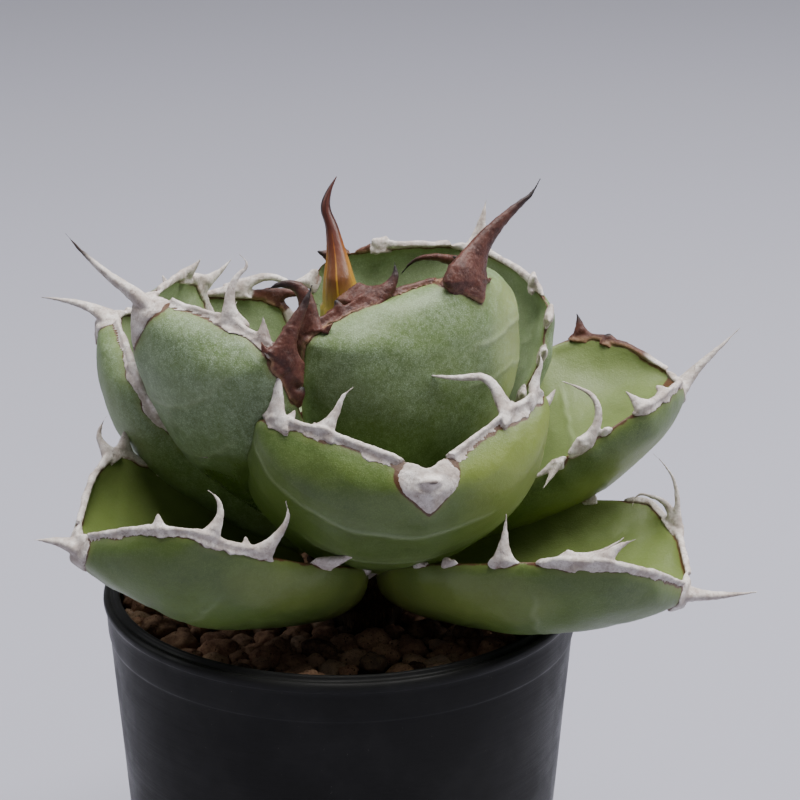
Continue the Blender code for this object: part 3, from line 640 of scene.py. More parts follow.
    def crest(self, s, side):
        """How far the horn stands out past the edge."""
        mm = self.walk(s)
        out = 0.60 + 0.34 * self.width * (1 + 0.8 * waves(mm, self.seed * 1.7 + side, 2.6))
        for tooth in self.teeth[side]:
            away = (mm - self.walk(tooth.at)) / (0.6 * tooth.root + 0.4)
            out = out + 0.16 * tooth.root * np.exp(-away**2)
        return out

    def horn(self, s, side):
        """Width in millimetres of the horny edge on the outer face."""
        s = np.asarray(s, float)
        start = self.band[side]
        mm = self.walk(s)
        ragged = 1 + 0.34 * waves(mm, self.seed + side, 2.6) + 0.26 * waves(mm, self.seed - side, 6.5)
        out = (self.width * ragged + 0.35) * smooth_step(start - 0.05, start + 0.06, s)
        for tooth in self.teeth[side]:
            reach = 0.50 * tooth.root + 0.55
            skew = 1.0 + 0.25 * math.sin(self.seed * 3.3 + tooth.at * 40)
            away = np.abs(mm - self.walk(tooth.at)) / (reach * skew)
            out = out + 0.25 * tooth.root * np.exp(-away**1.6)
        return out + 0.25 * waves(mm, self.seed * 2 + side, 1.3)

    def border(self, s, t, points, share):
        """Distance in millimetres from the horn's lower border, below 0 under the horn."""
        near = np.full(np.shape(s), 99.0)
        steps = np.linspace(0.02, 1.0, 220)
        edges = [(self.point(steps, side, 0.5), self.horn(steps, side)) for side in (1, -1)]
        end_width = 0.4 * float(self.horn(np.array(1.0), 1))
        edges.append((self.point(1.0, np.linspace(-1, 1, 9), 0.5), np.full(9, end_width)))
        for places, widths in edges:
            for at, wide in zip(places, np.clip(widths, 0, None)):
                near = np.minimum(near, np.sqrt(((points - at)**2).sum(axis=-1)) - wide * share)
        far, y = (1 - s) * self.length, np.abs(self.half(s) * t)
        reach = self.tip_patch / PATCH_SLOPE * share
        tip = np.where(far < reach, (y - self.wedge(far / share) * share) * PATCH_SLOPE,
                       np.hypot(far - reach, y))
        return np.minimum(near, tip)

    def wedge(self, far):
        """Half width of the horn some millimetres down the keel from the end spine."""
        end = float(self.half(np.array(1.0)))
        return (end + 0.4) * np.clip(1 - far * PATCH_SLOPE / self.tip_patch, 0, 1)

    def over_face(self, s, side, reach, down):
        """Places straight in from the edge, some millimetres away from it over one face."""
        trial = np.linspace(0.0, 1.3 * float(np.max(reach)) + 0.1, 12)
        path = self.point(*self.inland(s, side, trial), down)
        path = np.concatenate([self.point(np.array([float(s)]), side, 0.5), path])
        walked = np.cumsum(np.linalg.norm(np.diff(path, axis=0), axis=1))
        return self.inland(s, side, np.interp(reach, walked, trial))

    def youth(self, s, side):
        """How young, red-brown, the horn is at a place."""
        out = np.zeros(np.shape(s))
        for where, low, high, share in self.young:
            if where in (side, 0):
                out = np.maximum(out, share * smooth_step(low - 0.02, low + 0.02, s)
                                 * smooth_step(high + 0.02, high - 0.02, s))
        return out


# ---- blades ----------------------------------------------------------------------------------------
STATIONS = 170
STRIPS = 72


def blade_mesh(leaf):
    """Points, faces and attributes of the fleshy part, closed at both ends."""
    s = np.linspace(0, 1, STATIONS)
    s = s + 0.03 * np.sin(np.pi * s) * np.sin(np.pi * s)
    t = np.sin(np.linspace(-1, 1, STRIPS + 1) * math.pi / 2)
    ts = np.concatenate([t, t[-2:0:-1]])
    down = np.concatenate([np.zeros(STRIPS + 1), np.ones(STRIPS - 1)])
    down[0] = down[STRIPS] = 0.5
    S = np.repeat(s[:, None], len(ts), axis=1)
    T = np.repeat(ts[None, :], len(s), axis=0)
    D = np.repeat(down[None, :], len(s), axis=0)
    points = leaf.point(S, T, D)
    arc = leaf.half(S) * (1 - np.abs(T))        # distance from the edge round the section
    border = leaf.border(S, T, points, np.where(D > 0.75, 1.0, INNER_SHARE))
    # gentle swellings of the flesh, and the prints of neighbours' edges
    marks = np.zeros_like(S)
    for at, bow, slant, low, high, share in leaf.prints:
        line = at + bow * T * T + slant * T + 0.012 * waves(T * 30, leaf.seed + at, 3.0)
        away = (S - line) * leaf.length
        ends = smooth_step(low - 0.08, low + 0.08, T) * smooth_step(high + 0.08, high - 0.08, T)
        ridge = np.exp(-(away / 0.55)**2) + 0.35 * np.exp(-((away - 1.6) / 1.4)**2)
        marks = np.maximum(marks, share * ends * ridge)
    inside = smooth_step(0.0, 2.5, arc) * smooth_step(0.02, 0.15, S)
    swell = 0.30 * lumps(points, leaf.seed, 11.0) + 0.10 * lumps(points, leaf.seed + 9, 4.0)
    swell = (swell + 0.16 * marks) * inside
    points = leaf.point(S, T, D, lift=np.where(D == 0.5, 0.0, swell))
    outer = np.clip(D * 2 - 1, 0, 1)
    spots = {"yellow": np.zeros_like(S), "rubbed": np.zeros_like(S)}
    spots["yellow"] += 0.75 * smooth_step(0.30, 0.02, S) + 0.10
    for name, given in (("yellow", leaf.yellow), ("rubbed", leaf.rubbed)):
        for at, across, reach_s, reach_t, share in given:
            gone = ((S - at) / reach_s)**2 + ((T - across) / reach_t)**2
            ragged = (0.45 if name == "rubbed" else 0.12) * lumps(points, leaf.seed + at * 3, 5.0)
            soft = (1.25, 0.35) if name == "rubbed" else (1.9, -0.1)
            spots[name] = np.maximum(spots[name], share * smooth_step(*soft, gone + ragged) * outer)
    n = len(ts)
    rings = np.arange(len(s) * n).reshape(len(s), n)
    nxt = np.roll(rings, -1, axis=1)
    quads = np.stack([rings[:-1], nxt[:-1], nxt[1:], rings[1:]], axis=-1).reshape(-1, 4)
    faces = [tuple(q) for q in quads] + [tuple(rings[0][::-1]), tuple(rings[-1])]
    values = {"outer": outer, "border": border, "print": marks, **spots,
              "bloom": np.full_like(S, leaf.bloom)}
    return points.reshape(-1, 3), faces, {k: v.ravel() for k, v in values.items()}


def recalculated(thing):
    solid = bmesh.new()
    solid.from_mesh(thing.data)
    bmesh.ops.recalc_face_normals(solid, faces=solid.faces)
    solid.to_mesh(thing.data)
    solid.free()


# ---- horn ------------------------------------------------------------------------------------------
# lengths in millimetres
VOXEL = 0.21            # grid of the welded skin
BAND_STEP = 0.36        # between the rings of a band
LEAST_BAND = 0.40       # a band ends where it gets narrower than this
BAND_THICK = 0.50
FINEST_TOOTH = 0.16     # half width at a tooth's point
FINEST_SPINE = 0.17
TOOTH_STEPS = 22
# the picture's own ways: to the right, up, and away from the camera
RIGHT = np.array([1.0, 0.0, 0.0])
UP = np.array([0.0, 0.341, 0.940])
BACK = np.array([0.0, 0.940, -0.341])
SPINE_STEPS = 30


def picture_way(angles, back, f):
    """The way at share f of a path that is given as seen from the front."""
    a = math.radians(np.interp(f * len(angles) - 0.5, range(len(angles)), angles))
    o = math.radians(back)
    return (RIGHT * math.cos(a) + UP * math.sin(a)) * math.cos(o) + BACK * math.sin(o)


def tube_faces(rings, sides, first=0):
    """Faces between neighbouring rings of points that follow one another."""
    return [(first + i * sides + k, first + i * sides + (k + 1) % sides,
             first + (i + 1) * sides + (k + 1) % sides, first + (i + 1) * sides + k)
            for i in range(rings - 1) for k in range(sides)]


class Sweep:
    """Collects closed tubes, and what the material needs to know at each of their points."""

    def __init__(self):
        self.points = []
        self.faces = []
        self.facts = []     # (tip, young, border, dark)

    def tube(self, rings, facts):
        first = len(self.points)
        n = len(rings[0])
        for ring, fact in zip(rings, facts):
            for k, p in enumerate(ring):
                self.points.append(p)
                self.facts.append((fact[0], fact[1], fact[2][k] if np.ndim(fact[2]) else fact[2], fact[3]))
        self.faces.extend(tube_faces(len(rings), n, first))
        self.faces.append(tuple(range(first + n - 1, first - 1, -1)))
        last = first + (len(rings) - 1) * n
        self.faces.append(tuple(range(last, last + n)))


def band_runs(leaf, side):
    """Stretches of one edge that carry horn, as arrays of places along the leaf."""
    fine = np.linspace(0.02, 0.999, 1500)
    walked = np.concatenate([[0.0], np.cumsum(np.hypot(np.diff(fine) * leaf.length,
                                                       np.diff(leaf.half(fine))))])
    s = np.interp(np.arange(0.0, walked[-1], BAND_STEP), walked, fine)
    keep = leaf.horn(s, side) > LEAST_BAND
    runs = []
    i = 0
    while i < len(s):
        if keep[i]:
            j = i
            while j + 1 < len(s) and keep[j + 1]:
                j += 1
            if j - i >= 4:
                runs.append(s[i:j + 1])
            i = j
        i += 1
    return runs


def add_band(sweep, leaf, side):
    for run in band_runs(leaf, side):
        rims, ways, inwards, _, _ = leaf.rim(run, side)
        widths = leaf.horn(run, side)
        crests = leaf.crest(run, side)
        youths = leaf.youth(run, side)
        lump = 0.22 * waves(run * leaf.length, leaf.seed * 3 + side, 1.9)
        walked = np.concatenate([[0.0], np.cumsum(np.linalg.norm(np.diff(rims, axis=0), axis=1))])
        ends = np.minimum(walked, (walked[-1] - walked) + (9.0 if run[-1] > 0.99 else 0.0))
        tapers = np.sqrt(smooth_step(-0.3, 1.8, ends))
        rings = []
        facts = []
        for s, rim, way, inward, wide, crest, young, uneven, taper in zip(
                run, rims, ways, inwards, widths, crests, youths, lump, tapers):
            wide = wide * taper + 0.25
            narrow = wide * INNER_SHARE
            thick = (BAND_THICK + 1.3 * uneven) * taper
            inner_q = np.array([1.0, 0.8, 0.5, 0.2]) * narrow
            outer_q = np.array([0.12, 0.3, 0.5, 0.7, 0.88, 1.0]) * wide
            ring = []
            places = leaf.over_face(s, side, inner_q, 0.0)
            ring.extend(leaf.point(*places, 0.0, thick * np.array([-0.4, 0.5, 0.85, 1.0])))
            for up, far in ((0.75, 0.45), (0.62, 0.85), (0.0, 1.05), (-0.62, 0.85), (-0.75, 0.45)):
                ring.append(rim + inward * up * (0.35 + thick) + way * far * crest * taper)
            places = leaf.over_face(s, side, outer_q, 1.0)
            ring.extend(leaf.point(*places, 1.0, thick * np.array([1.1, 1.05, 1.0, 0.95, 0.7, -0.4])))
            ring.append(leaf.point(places[0][3], places[1][3], 0.62))
            ring.append(leaf.point(places[0][2], places[1][2], 0.38))
            height = np.concatenate([narrow - inner_q, [narrow + 0.5] * 5, wide - outer_q, [0.0, 0.0]])
            rings.append(ring)
            facts.append((0.0, float(young), height, 0.0))
        sweep.tube(rings, facts)


def add_patch(sweep, leaf):
    """The horn that runs down the keel below the end spine, as an upright wedge."""
    cap = float(leaf.horn(np.array(1.0), 1))
    reach = leaf.tip_patch / PATCH_SLOPE
    rings = []
    facts = []
    for d in np.linspace(0.0, 1.0, 18)[:-1]:
        far = d * reach
        s = 1 - far / leaf.length
        wide = float(leaf.wedge(far))
        wide = max(wide, 0.4) * (1 + 0.12 * float(waves(np.array(d * 5), leaf.seed, 1.0)))
        half = float(leaf.half(np.array(s)))
        ts = np.clip(np.linspace(-1, 1, 9) * wide / max(half, 0.5), -1.0, 1.0)
        bow = np.sqrt(np.clip(1 - np.linspace(-1, 1, 9)**2, 0, 1))
        top = leaf.point(s, ts, 1.0, 0.62 * np.sqrt(1 - d * d) * (0.35 + 0.65 * bow))
        low = leaf.point(s, ts, 0.0, 0.45) if far < 0.8 * cap else leaf.point(s, ts, 0.5)
        inside = (1 - np.hypot(d, np.linspace(-1, 1, 9) * 0.8)) * leaf.tip_patch + 0.3
        ring = np.concatenate([top, low[::-1]])
        if d == 0:
            middle = ring.mean(axis=0)
            front = middle + (ring - middle) * 0.55 + leaf.frame(np.array(1.0))[1].ravel() * 0.8
            rings.append(list(front))
            facts.append((0.0, float(leaf.youth(np.array(0.99), 1)), 2.0, 0.0))
        rings.append(list(ring))
        facts.append((0.0, float(leaf.youth(np.array(0.99), 1)), np.concatenate([inside, inside]), 0.0))
    sweep.tube(rings, facts)


def swept(centres, first_long, long_half, thick_half, sides=12):
    """Rings of a bent, flattened, tapering horn; the long axis is carried along the bend."""
    rings = []
    long_way = first_long
    for i, c in enumerate(centres):
        way = unit(centres[min(i + 1, len(centres) - 1)] - centres[max(i - 1, 0)])
        long_way = unit(long_way - way * np.dot(long_way, way))
        side_way = np.cross(way, long_way)
        angles = np.arange(sides) * 2 * math.pi / sides
        rings.append([c + long_way * math.cos(x) * long_half[i] + side_way * math.sin(x) * thick_half[i]
                      for x in angles])
    return rings


def tooth_line(leaf, side, tooth):
    """The middle line of a tooth, from inside the edge to its point."""
    out, inward, ahead = [v.ravel() for v in leaf.outward(np.array(tooth.at), side)]
    edge, way = [v.ravel() for v in leaf.rim(np.array(tooth.at), side)[:2]]
    centres = [edge - way * 1.4, edge]
    for k in range(TOOTH_STEPS):
        f = (k + 0.5) / TOOTH_STEPS
        if tooth.path:
            way = picture_way(tooth.path, tooth.lean, f)
            centres.append(centres[-1] + way * tooth.size / TOOTH_STEPS)
            continue
        a = math.radians(tooth.lean + tooth.curl * f + tooth.hook * smooth_step(0.55, 1.0, f))
        o = math.radians(tooth.inward + tooth.turn * f)
        way = (out * math.cos(a) + ahead * math.sin(a)) * math.cos(o) + inward * math.sin(o)
        centres.append(centres[-1] + way * tooth.size / TOOTH_STEPS)
    return np.array(centres)


def add_tooth(sweep, leaf, side, tooth):
    _, way, inward = [v.ravel() for v in leaf.rim(np.array(tooth.at), side)[:3]]
    ahead = unit(np.cross(inward, way))
    centres = tooth_line(leaf, side, tooth)
    f = np.concatenate([[0.0, 0.0], (np.arange(TOOTH_STEPS) + 1) / TOOTH_STEPS])
    flare = np.exp(-f * tooth.size / 1.5)
    half = tooth.root * tooth.fat * (0.40 * (1 - f)**0.85 * (0.72 + 0.28 * f) + 0.62 * flare)
    half = np.maximum(half, FINEST_TOOTH)
    thick = np.minimum(half * 0.78, 0.55 + 0.15 * tooth.root) * (1 - 0.25 * flare)
    thick = np.maximum(thick, FINEST_TOOTH)
    young = float(leaf.youth(np.array(tooth.at), side))
    rings = swept(centres, ahead, half, thick)
    facts = [(x, young, 1.0 + x * tooth.size, 0.25 * smooth_step(0.8, 1.0, x)) for x in f]
    sweep.tube(rings, facts)


def spine_line(leaf):
    """The middle line of the end spine, from inside the leaf to its point."""
    size, up, aside = leaf.spine
    _, ahead, left_way, inner = [v.ravel() for v in leaf.frame(np.array(1.0))]
    start = (leaf.point(1.0, 0.0, 0.0).ravel() + leaf.point(1.0, 0.0, 1.0).ravel()) * 0.5
    centres = [start - ahead * 4.0, start - ahead * 2.0, start]
    for k in range(SPINE_STEPS):
        f = (k + 0.5) / SPINE_STEPS
        if isinstance(up, tuple):
            way = picture_way(up, aside, f)
            centres.append(centres[-1] + way * size / SPINE_STEPS)
            continue
        a = math.radians(up * f**0.3)
        o = math.radians(aside * f)
        way = (ahead * math.cos(a) + inner * math.sin(a)) * math.cos(o) + left_way * math.sin(o)
        centres.append(centres[-1] + way * size / SPINE_STEPS)
    return np.array(centres)


def add_spine(sweep, leaf):
    size = leaf.spine[0]
    left_way = leaf.frame(np.array(1.0))[2].ravel()
    f = np.concatenate([[0.0, 0.0, 0.0], (np.arange(SPINE_STEPS) + 1) / SPINE_STEPS])
    before = np.array([0.35, 0.75, 1.0] + [1.0] * SPINE_STEPS)
    flare = np.exp(-f * size / leaf.flare)
    fat = leaf.spine_fat
    half = fat * before * (1.35 * (1 - f)**0.9 + leaf.foot * flare)
    thick = fat * before * (1.15 * (1 - f)**0.9 + 0.35 * flare)
    half = np.maximum(half, FINEST_SPINE)
    thick = np.maximum(thick, FINEST_SPINE)
    young = float(leaf.youth(np.array(0.99), 1))
    rings = swept(spine_line(leaf), left_way, half, thick, 16)
    facts = [(x, young, 3.0 + x * size, leaf.dark * float(smooth_step(0.35, 1.0, x)) * 1.6) for x in f]
    sweep.tube(rings, facts)


def horn_piece(name, leaf, material):
    """The whole horn of one leaf as one welded skin."""
    sweep = Sweep()
    for side in (1, -1):
        add_band(sweep, leaf, side)
        for tooth in leaf.teeth[side]:
            add_tooth(sweep, leaf, side, tooth)
    add_patch(sweep, leaf)
    add_spine(sweep, leaf)
    mesh = bpy.data.meshes.new(name + "_rough")
    mesh.from_pydata([tuple(p) for p in sweep.points], [], sweep.faces)
    rough = bpy.data.objects.new(name + "_rough", mesh)
    bpy.context.scene.collection.objects.link(rough)
    weld = rough.modifiers.new("skin", "REMESH")
    weld.mode = "VOXEL"
    weld.voxel_size = VOXEL
    solid = bmesh.new()
    solid.from_object(rough, bpy.context.evaluated_depsgraph_get())
    bpy.data.objects.remove(rough, do_unlink=True)
    for _ in range(3):
        bmesh.ops.smooth_vert(solid, verts=solid.verts, factor=0.5, use_axis_x=True, use_axis_y=True,
                              use_axis_z=True)
    solid.normal_update()
    tree = kdtree.KDTree(len(sweep.points))
    for i, p in enumerate(sweep.points):
        tree.insert(p, i)
    tree.balance()
    facts = []
    for v in solid.verts:
        near = tree.find_n(v.co, 3)
        weights = [1 / (d + 0.05) for _, _, d in near]
        total = sum(weights)
        facts.append([sum(w * sweep.facts[i][k] for w, (_, i, _) in zip(weights,
                                                                        near)) / total for k in range(4)])
    shifts = []
    for v in solid.verts:
        p = v.co
        bump = 0.09 * noise.noise(p / 1.1 + Vector((leaf.seed, 0, 0))) + 0.05 * noise.noise(p / 0.45)
        shifts.append(v.normal * bump)
    for v, shift in zip(solid.verts, shifts):
        v.co = (v.co + shift) * MM
    piece = place(name, solid, material)
    facts = np.array(facts)
    for k, key in enumerate(("tip", "young", "border", "dark_tip")):
        set_attribute(piece, key, facts[:, k])
    return piece


# ---- the eleven leaves -----------------------------------------------------------------------------
# teeth that plain edges carry
FEW = ((0.42, 2.6, 4.5, 20, -10, 20), (0.62, 2.8, 6.5, 15, -15, 30), (0.80, 3.2, 8.0, 20, -10, 35),
       (0.92, 2.6, 4.5, 25, 20, 20))
MORE = ((0.28, 2.2, 3.2, 20, 0, 10), (0.45, 2.6, 5.5, 15, -20, 40), (0.60, 2.6, 4.0, 25, 20, 10),
        (0.74, 3.4, 8.5, 10, -15, 45), (0.88, 3.0, 6.0, 25, 10, 30))

LEAVES = {
    # the three lowest leaves
    "leaf_01": Leaf(
        -43, 2, 54, 24, (13, 9, 2), thickness=7.5, cup=(64, 56, 42), blunt=1.0, full=0.8, sweep=30, roll=-9,
        spine=(13.2, (-8, 0, 4, 6), 0), seed=1, band=(0.72, 0.60), width=0.54, tip_patch=2.6, dark=0.15,
        bloom=0.27,
        left=((0.22, 2.0, 2.5), (0.42, 2.4, 3.0, 10, 10), (0.60, 2.2, 2.6, 10, -20),
              (0.915, 2.8, 12.6, (94, 125, 160, 165, 255), 0), (0.93, 2.4, 15.6, (86, 90, 100, 122, 135), 0)),
        right=((0.05, 2.0, 5.0, (60, 110), -15), (0.13, 2.0, 6.0, (50, 120, 60), -15),
               (0.25, 2.0, 1.2, (60, 40), 0),
               (0.34, 2.0, 1.2, (120, 80), 0), (0.50, 3.4, 8.6, (88, 84, 86), 0),
               (0.70, 3.2, 10.8, (12, 22, 36), 0), (0.80, 3.0, 7.4, (50, 36, 20), 0)),
        yellow=((0.35, -0.75, 0.30, 0.25, 0.4), (0.25, 0.0, 0.2, 0.5, 0.25)),
        prints=((0.55, 0.10, 0.05, -0.8, 0.2, 0.5),)),
    "leaf_02": Leaf(
        227, -2, 54, 25, (18, 22, 28), thickness=7.5, cup=(64, 60, 66), blunt=1.0, full=0.8, sweep=-27,
        spine=(7.6, (160, 172, 176), -10), seed=2, band=(0.62, 0.66), width=0.66, tip_patch=3.0, dark=0.10,
        bloom=0.28,
        left=((0.06, 2.0, 4.0, (20, 60), -15), (0.13, 2.2, 7.0, (30, 62, 75), -15),
              (0.33, 3.0, 10.4, (16, 22, 32, 55), -8), (0.56, 3.6, 11.0, (48, 50, 62, 104), 0),
              (0.615, 1.8, 2.4, (100, 95), 0),
              (0.76, 3.2, 9.6, (60, 68, 100, 140), 0), (0.90, 2.0, 2.8, (95, 90), 0)),
        right=((0.24, 2.2, 2.4, 10, 10), (0.42, 2.4, 3.0, 10, -10), (0.62, 2.2, 2.6, (60, 80), 0),
               (0.80, 2.6, 9.6, (85, 70, 40, 30), 0), (0.86, 2.6, 8.4, (125, 120, 75, 60), 0)),
        yellow=((0.40, 0.85, 0.25, 0.18, 0.4), (0.30, 0.1, 0.25, 0.4, 0.2)),
        prints=((0.62, 0.08, -0.05, -0.3, 0.7, 0.4),)),
    "leaf_03": Leaf(
        88, -2, 54, 24, (12, 16, 26), thickness=9, cup=(60, 50, 50), blunt=0.8, full=0.4,
        spine=(12, -10, 0), seed=3, left=FEW, right=MORE, band=(0.62, 0.58), width=0.66, tip_patch=3.2,
        bloom=0.7,
        prints=((0.55, 0.12, 0.0, -0.7, 0.7, 0.5),)),
    # the middle tier
    "leaf_04": Leaf(
        -76, 27, 42.5, 32, (38, 42, 42), thickness=8.0, cup=(62, 58, 66), blunt=0.9, full=0.9,
        spine=(3.2, -30, 0), seed=4, band=(0.86, 0.90), width=1.05, tip_patch=3.4, dark=0.5, bloom=0.36,
        left=((0.22, 2.2, 3.0, 20, 0), (0.40, 2.4, 2.6, 15, -20), (0.68, 2.6, 4.2, (50, 58), 0),
              (0.875, 3.6, 8.4, (88, 74, 64, 105), 0), (0.935, 4.4, 18.6, (124, 112, 138, 188, 180, 174,
                                                                           172), 0)),
        right=((0.24, 2.0, 6.0, (150, 140, 165), -35), (0.37, 2.6, 10.5, (150, 165, 172, 180), -35),
               (0.60, 2.4, 1.6, (160, 150), 0), (0.865, 4.4, 12.6, (78, 86, 92, 125, 165), 0),
               (0.885, 1.9, 2.8, (50, 60), 0), (0.94, 3.2, 9.6, (56, 60, 70, 38), 0)),
        yellow=((0.78, 0.62, 0.30, 0.42, 0.62), (0.60, 0.95, 0.35, 0.15, 0.5), (0.9, -0.72, 0.1, 0.2, 0.15)),
        prints=((0.74, 0.06, 0.04, -0.95, 0.35, 0.8), (0.52, 0.22, 0.10, -0.5, 0.6, 0.6))),
    "leaf_05": Leaf(
        167, 22, 57, 21, (31, 42, 80), thickness=7, cup=(50, 45, 50), blunt=0.6,
        spine=(14, (150, 160, 170, 172), 10),
        seed=5, band=(0.62, 0.66), width=0.6, dark=0.4, bloom=0.95, tip_patch=3.6,
        left=((0.35, 2.2, 2.6, 10, 0), (0.55, 2.4, 3.4, 0, 20), (0.72, 2.6, 4.0, 0, -20),
              (0.86, 3.4, 7.0, 30, -30, 30)),
        right=FEW, yellow=((0.6, 0.5, 0.3, 0.4, 0.3),), prints=((0.5, 0.15, 0.0, -0.6, 0.8, 0.6),)),
    "leaf_06": Leaf(
        15, 20, 57, 24, (26, 29, 24), thickness=7.5, cup=(56, 48, 50), blunt=0.6,
        spine=(16.4, (48, 44, 41, 44), 0),
        seed=6, band=(0.80, 0.78), width=0.54, dark=0.25, bloom=0.50, young=((1, 0.60, 0.97, 0.8),),
        tip_patch=3.6,
        left=((0.45, 2.4, 3.0, 10, 10), (0.62, 2.0, 2.0, 10, -20), (0.835, 2.6, 4.6, (100, 98, 108), 0),
              (0.90, 1.8, 1.4, 10, 20)),
        right=((0.470, 2.2, 7.0, (212, 206), -18), (0.478, 2.2, 6.4, (240, 236), -28),
               (0.57, 3.6, 16.8, (52, 70, 105, 150, 160), 0), (0.66, 1.6, 1.2, 10, 0),
               (0.80, 2.6, 4.6, (140, 130, 140), 0), (0.90, 2.6, 2.2, (150, 140), 0)),
        yellow=((0.55, -0.2, 0.35, 0.6, 0.85),), prints=((0.60, 0.10, 0.08, -0.7, 0.6, 0.7),)),
    # the inner leaves
    "leaf_07": Leaf(
        200, 38, 58, 27, (45, 54, 76), thickness=7.5, cup=(56, 54, 68), blunt=0.9,
        spine=(19, (140, 145, 139, 137, 130), 0),
        seed=7, band=(0.66, 0.60), width=0.78, tip_patch=5.4, dark=0.75, bloom=1.15, spine_fat=1.1, flare=4.2,
        young=((1, 0.40, 0.835, 1.0), (1, 0.835, 0.89, 0.5)),
        left=((0.45, 2.4, 1.6, 5, 0), (0.64, 2.6, 2.6, (40, 60), 0), (0.79, 4.8, 14.6, (78, 66, 60, 70), 0,
                                                                      0, 0, 0, 1.35),
              (0.87, 2.4, 4.4, (80, 95), 0), (0.935, 3.6, 13.6, (98, 90, 80, 55, 40, 140), 0)),
        right=FEW, rubbed=((0.42, 0.45, 0.14, 0.40, 1.0), (0.30, 0.15, 0.12, 0.3, 0.9)),
        prints=((0.72, 0.12, 0.04, -0.9, 0.7, 0.6), (0.56, 0.10, 0.0, -0.9, 0.6, 0.6))),
    "leaf_08": Leaf(
        147, 38, 49, 18, (38, 46, 58), thickness=6, cup=(48, 44, 50), blunt=0.6, roll=-18, spine=(6, 0, 0),
        seed=8, band=(0.70, 0.66), width=0.78, dark=0.2, bloom=0.95, young=((-1, 0.76, 0.89, 1.0),),
        tip_patch=3.4,
        left=((0.55, 2.4, 3.4, 5, 10), (0.74, 2.6, 4.0, 10, -20), (0.90, 3.2, 5.0, 20, 10)),
        right=((0.50, 2.4, 3.4, 5, 0), (0.70, 2.6, 5.0, 10, -20), (0.84, 3.0, 10.0, (20, 0, -35, -25), 0),
               (0.935, 3.4, 20.0, (35, 15, -15, -45, -50, -45), 0))),
    "leaf_09": Leaf(
        57, 40, 52, 30, (44, 55, 68), thickness=6.5, cup=(50, 50, 56), blunt=0.7, spine=(10, 0, 0),
        seed=9, band=(0.90, 0.86), width=0.66, dark=0.2, bloom=1.25, young=((1, 0.76, 0.93, 0.8),),
        tip_patch=3.0,
        left=((0.40, 2.4, 3.0, 5, 0), (0.58, 2.6, 4.0, 5, -20), (0.74, 2.8, 4.5, 5, -20),
              (0.86, 3.2, 4.5, 5, -10, 20), (0.94, 2.8, 2.5, 5, 10, 20)),
        right=((0.45, 2.4, 3.0, 5, 0), (0.62, 2.6, 3.6, 5, 10), (0.78, 2.8, 4.0, 5, -20),
               (0.90, 3.0, 3.5, 5, 10, 20)), prints=((0.6, 0.15, 0.0, -0.8, 0.8, 0.5),)),
    "leaf_10": Leaf(
        -40, 50, 52, 31, (58, 73, 92), thickness=7, cup=(60, 60, 70), blunt=0.85, full=0.2,
        spine=(23, (74, 62, 52, 46, 42, 38, 62), 8), seed=10, band=(0.55, 0.52), width=0.6, tip_patch=3.0,
        dark=1.0,
        bloom=0.95, young=((0, 0.0, 1.1, 1.0),), spine_fat=1.6, flare=3.6, foot=2.9,
        left=((0.60, 2.4, 3.0, 5, 0), (0.78, 2.8, 4.5, 10, 0), (0.955, 3.2, 13.7, (165, 168, 190, 230), 15,
                                                                0, 0, 0, 1.3),
              (0.975, 2.0, 3.2, (120, 160), 0)),
        right=((0.44, 2.4, 4.5, (150, 200), 0), (0.62, 2.6, 4.0, (120, 190, 230), 0),
               (0.83, 5.2, 14.7, (78, 92, 120, 170, 205), 0, 0, 0, 0, 1.35), (0.90, 2.6, 3.0, (70, 120), 0),
               (0.945, 4.2, 9.6, (25, 35, 60, 95), 0, 0, 0, 0, 1.5)),
        yellow=((0.70, 0.35, 0.30, 0.30, 0.8), (0.35, 0.2, 0.3, 0.3, 0.5)),
        prints=((0.80, -0.30, 0.10, -0.1, 0.55, 0.9), (0.68, -0.35, 0.05, -0.1, 0.5, 0.8))),
    # the rolled-up youngest leaves at the heart of the rosette
    "leaf_11": Leaf(
        180, 78, 42, 6.2, (88, 86, 84), thickness=4, cup=(80, 80, 80), blunt=0.0,
        spine=(18.5, (93, 98, 100, 114, 76, 60), 0), seed=11, keel=0.0),
}


def make_leaves():
    flesh = blade_material()
    horn = horn_material()
    for name, leaf in LEAVES.items():
        if name == "leaf_11":
            continue
        points, faces, values = blade_mesh(leaf)
        blade = place(name + "_blade", (points * MM, faces), flesh)
        recalculated(blade)
        for key, numbers in values.items():
            set_attribute(blade, key, numbers)
        edge = horn_piece(name + "_horn", leaf, horn)
        for piece in (blade, edge):
            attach(piece, "root")
            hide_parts(name)


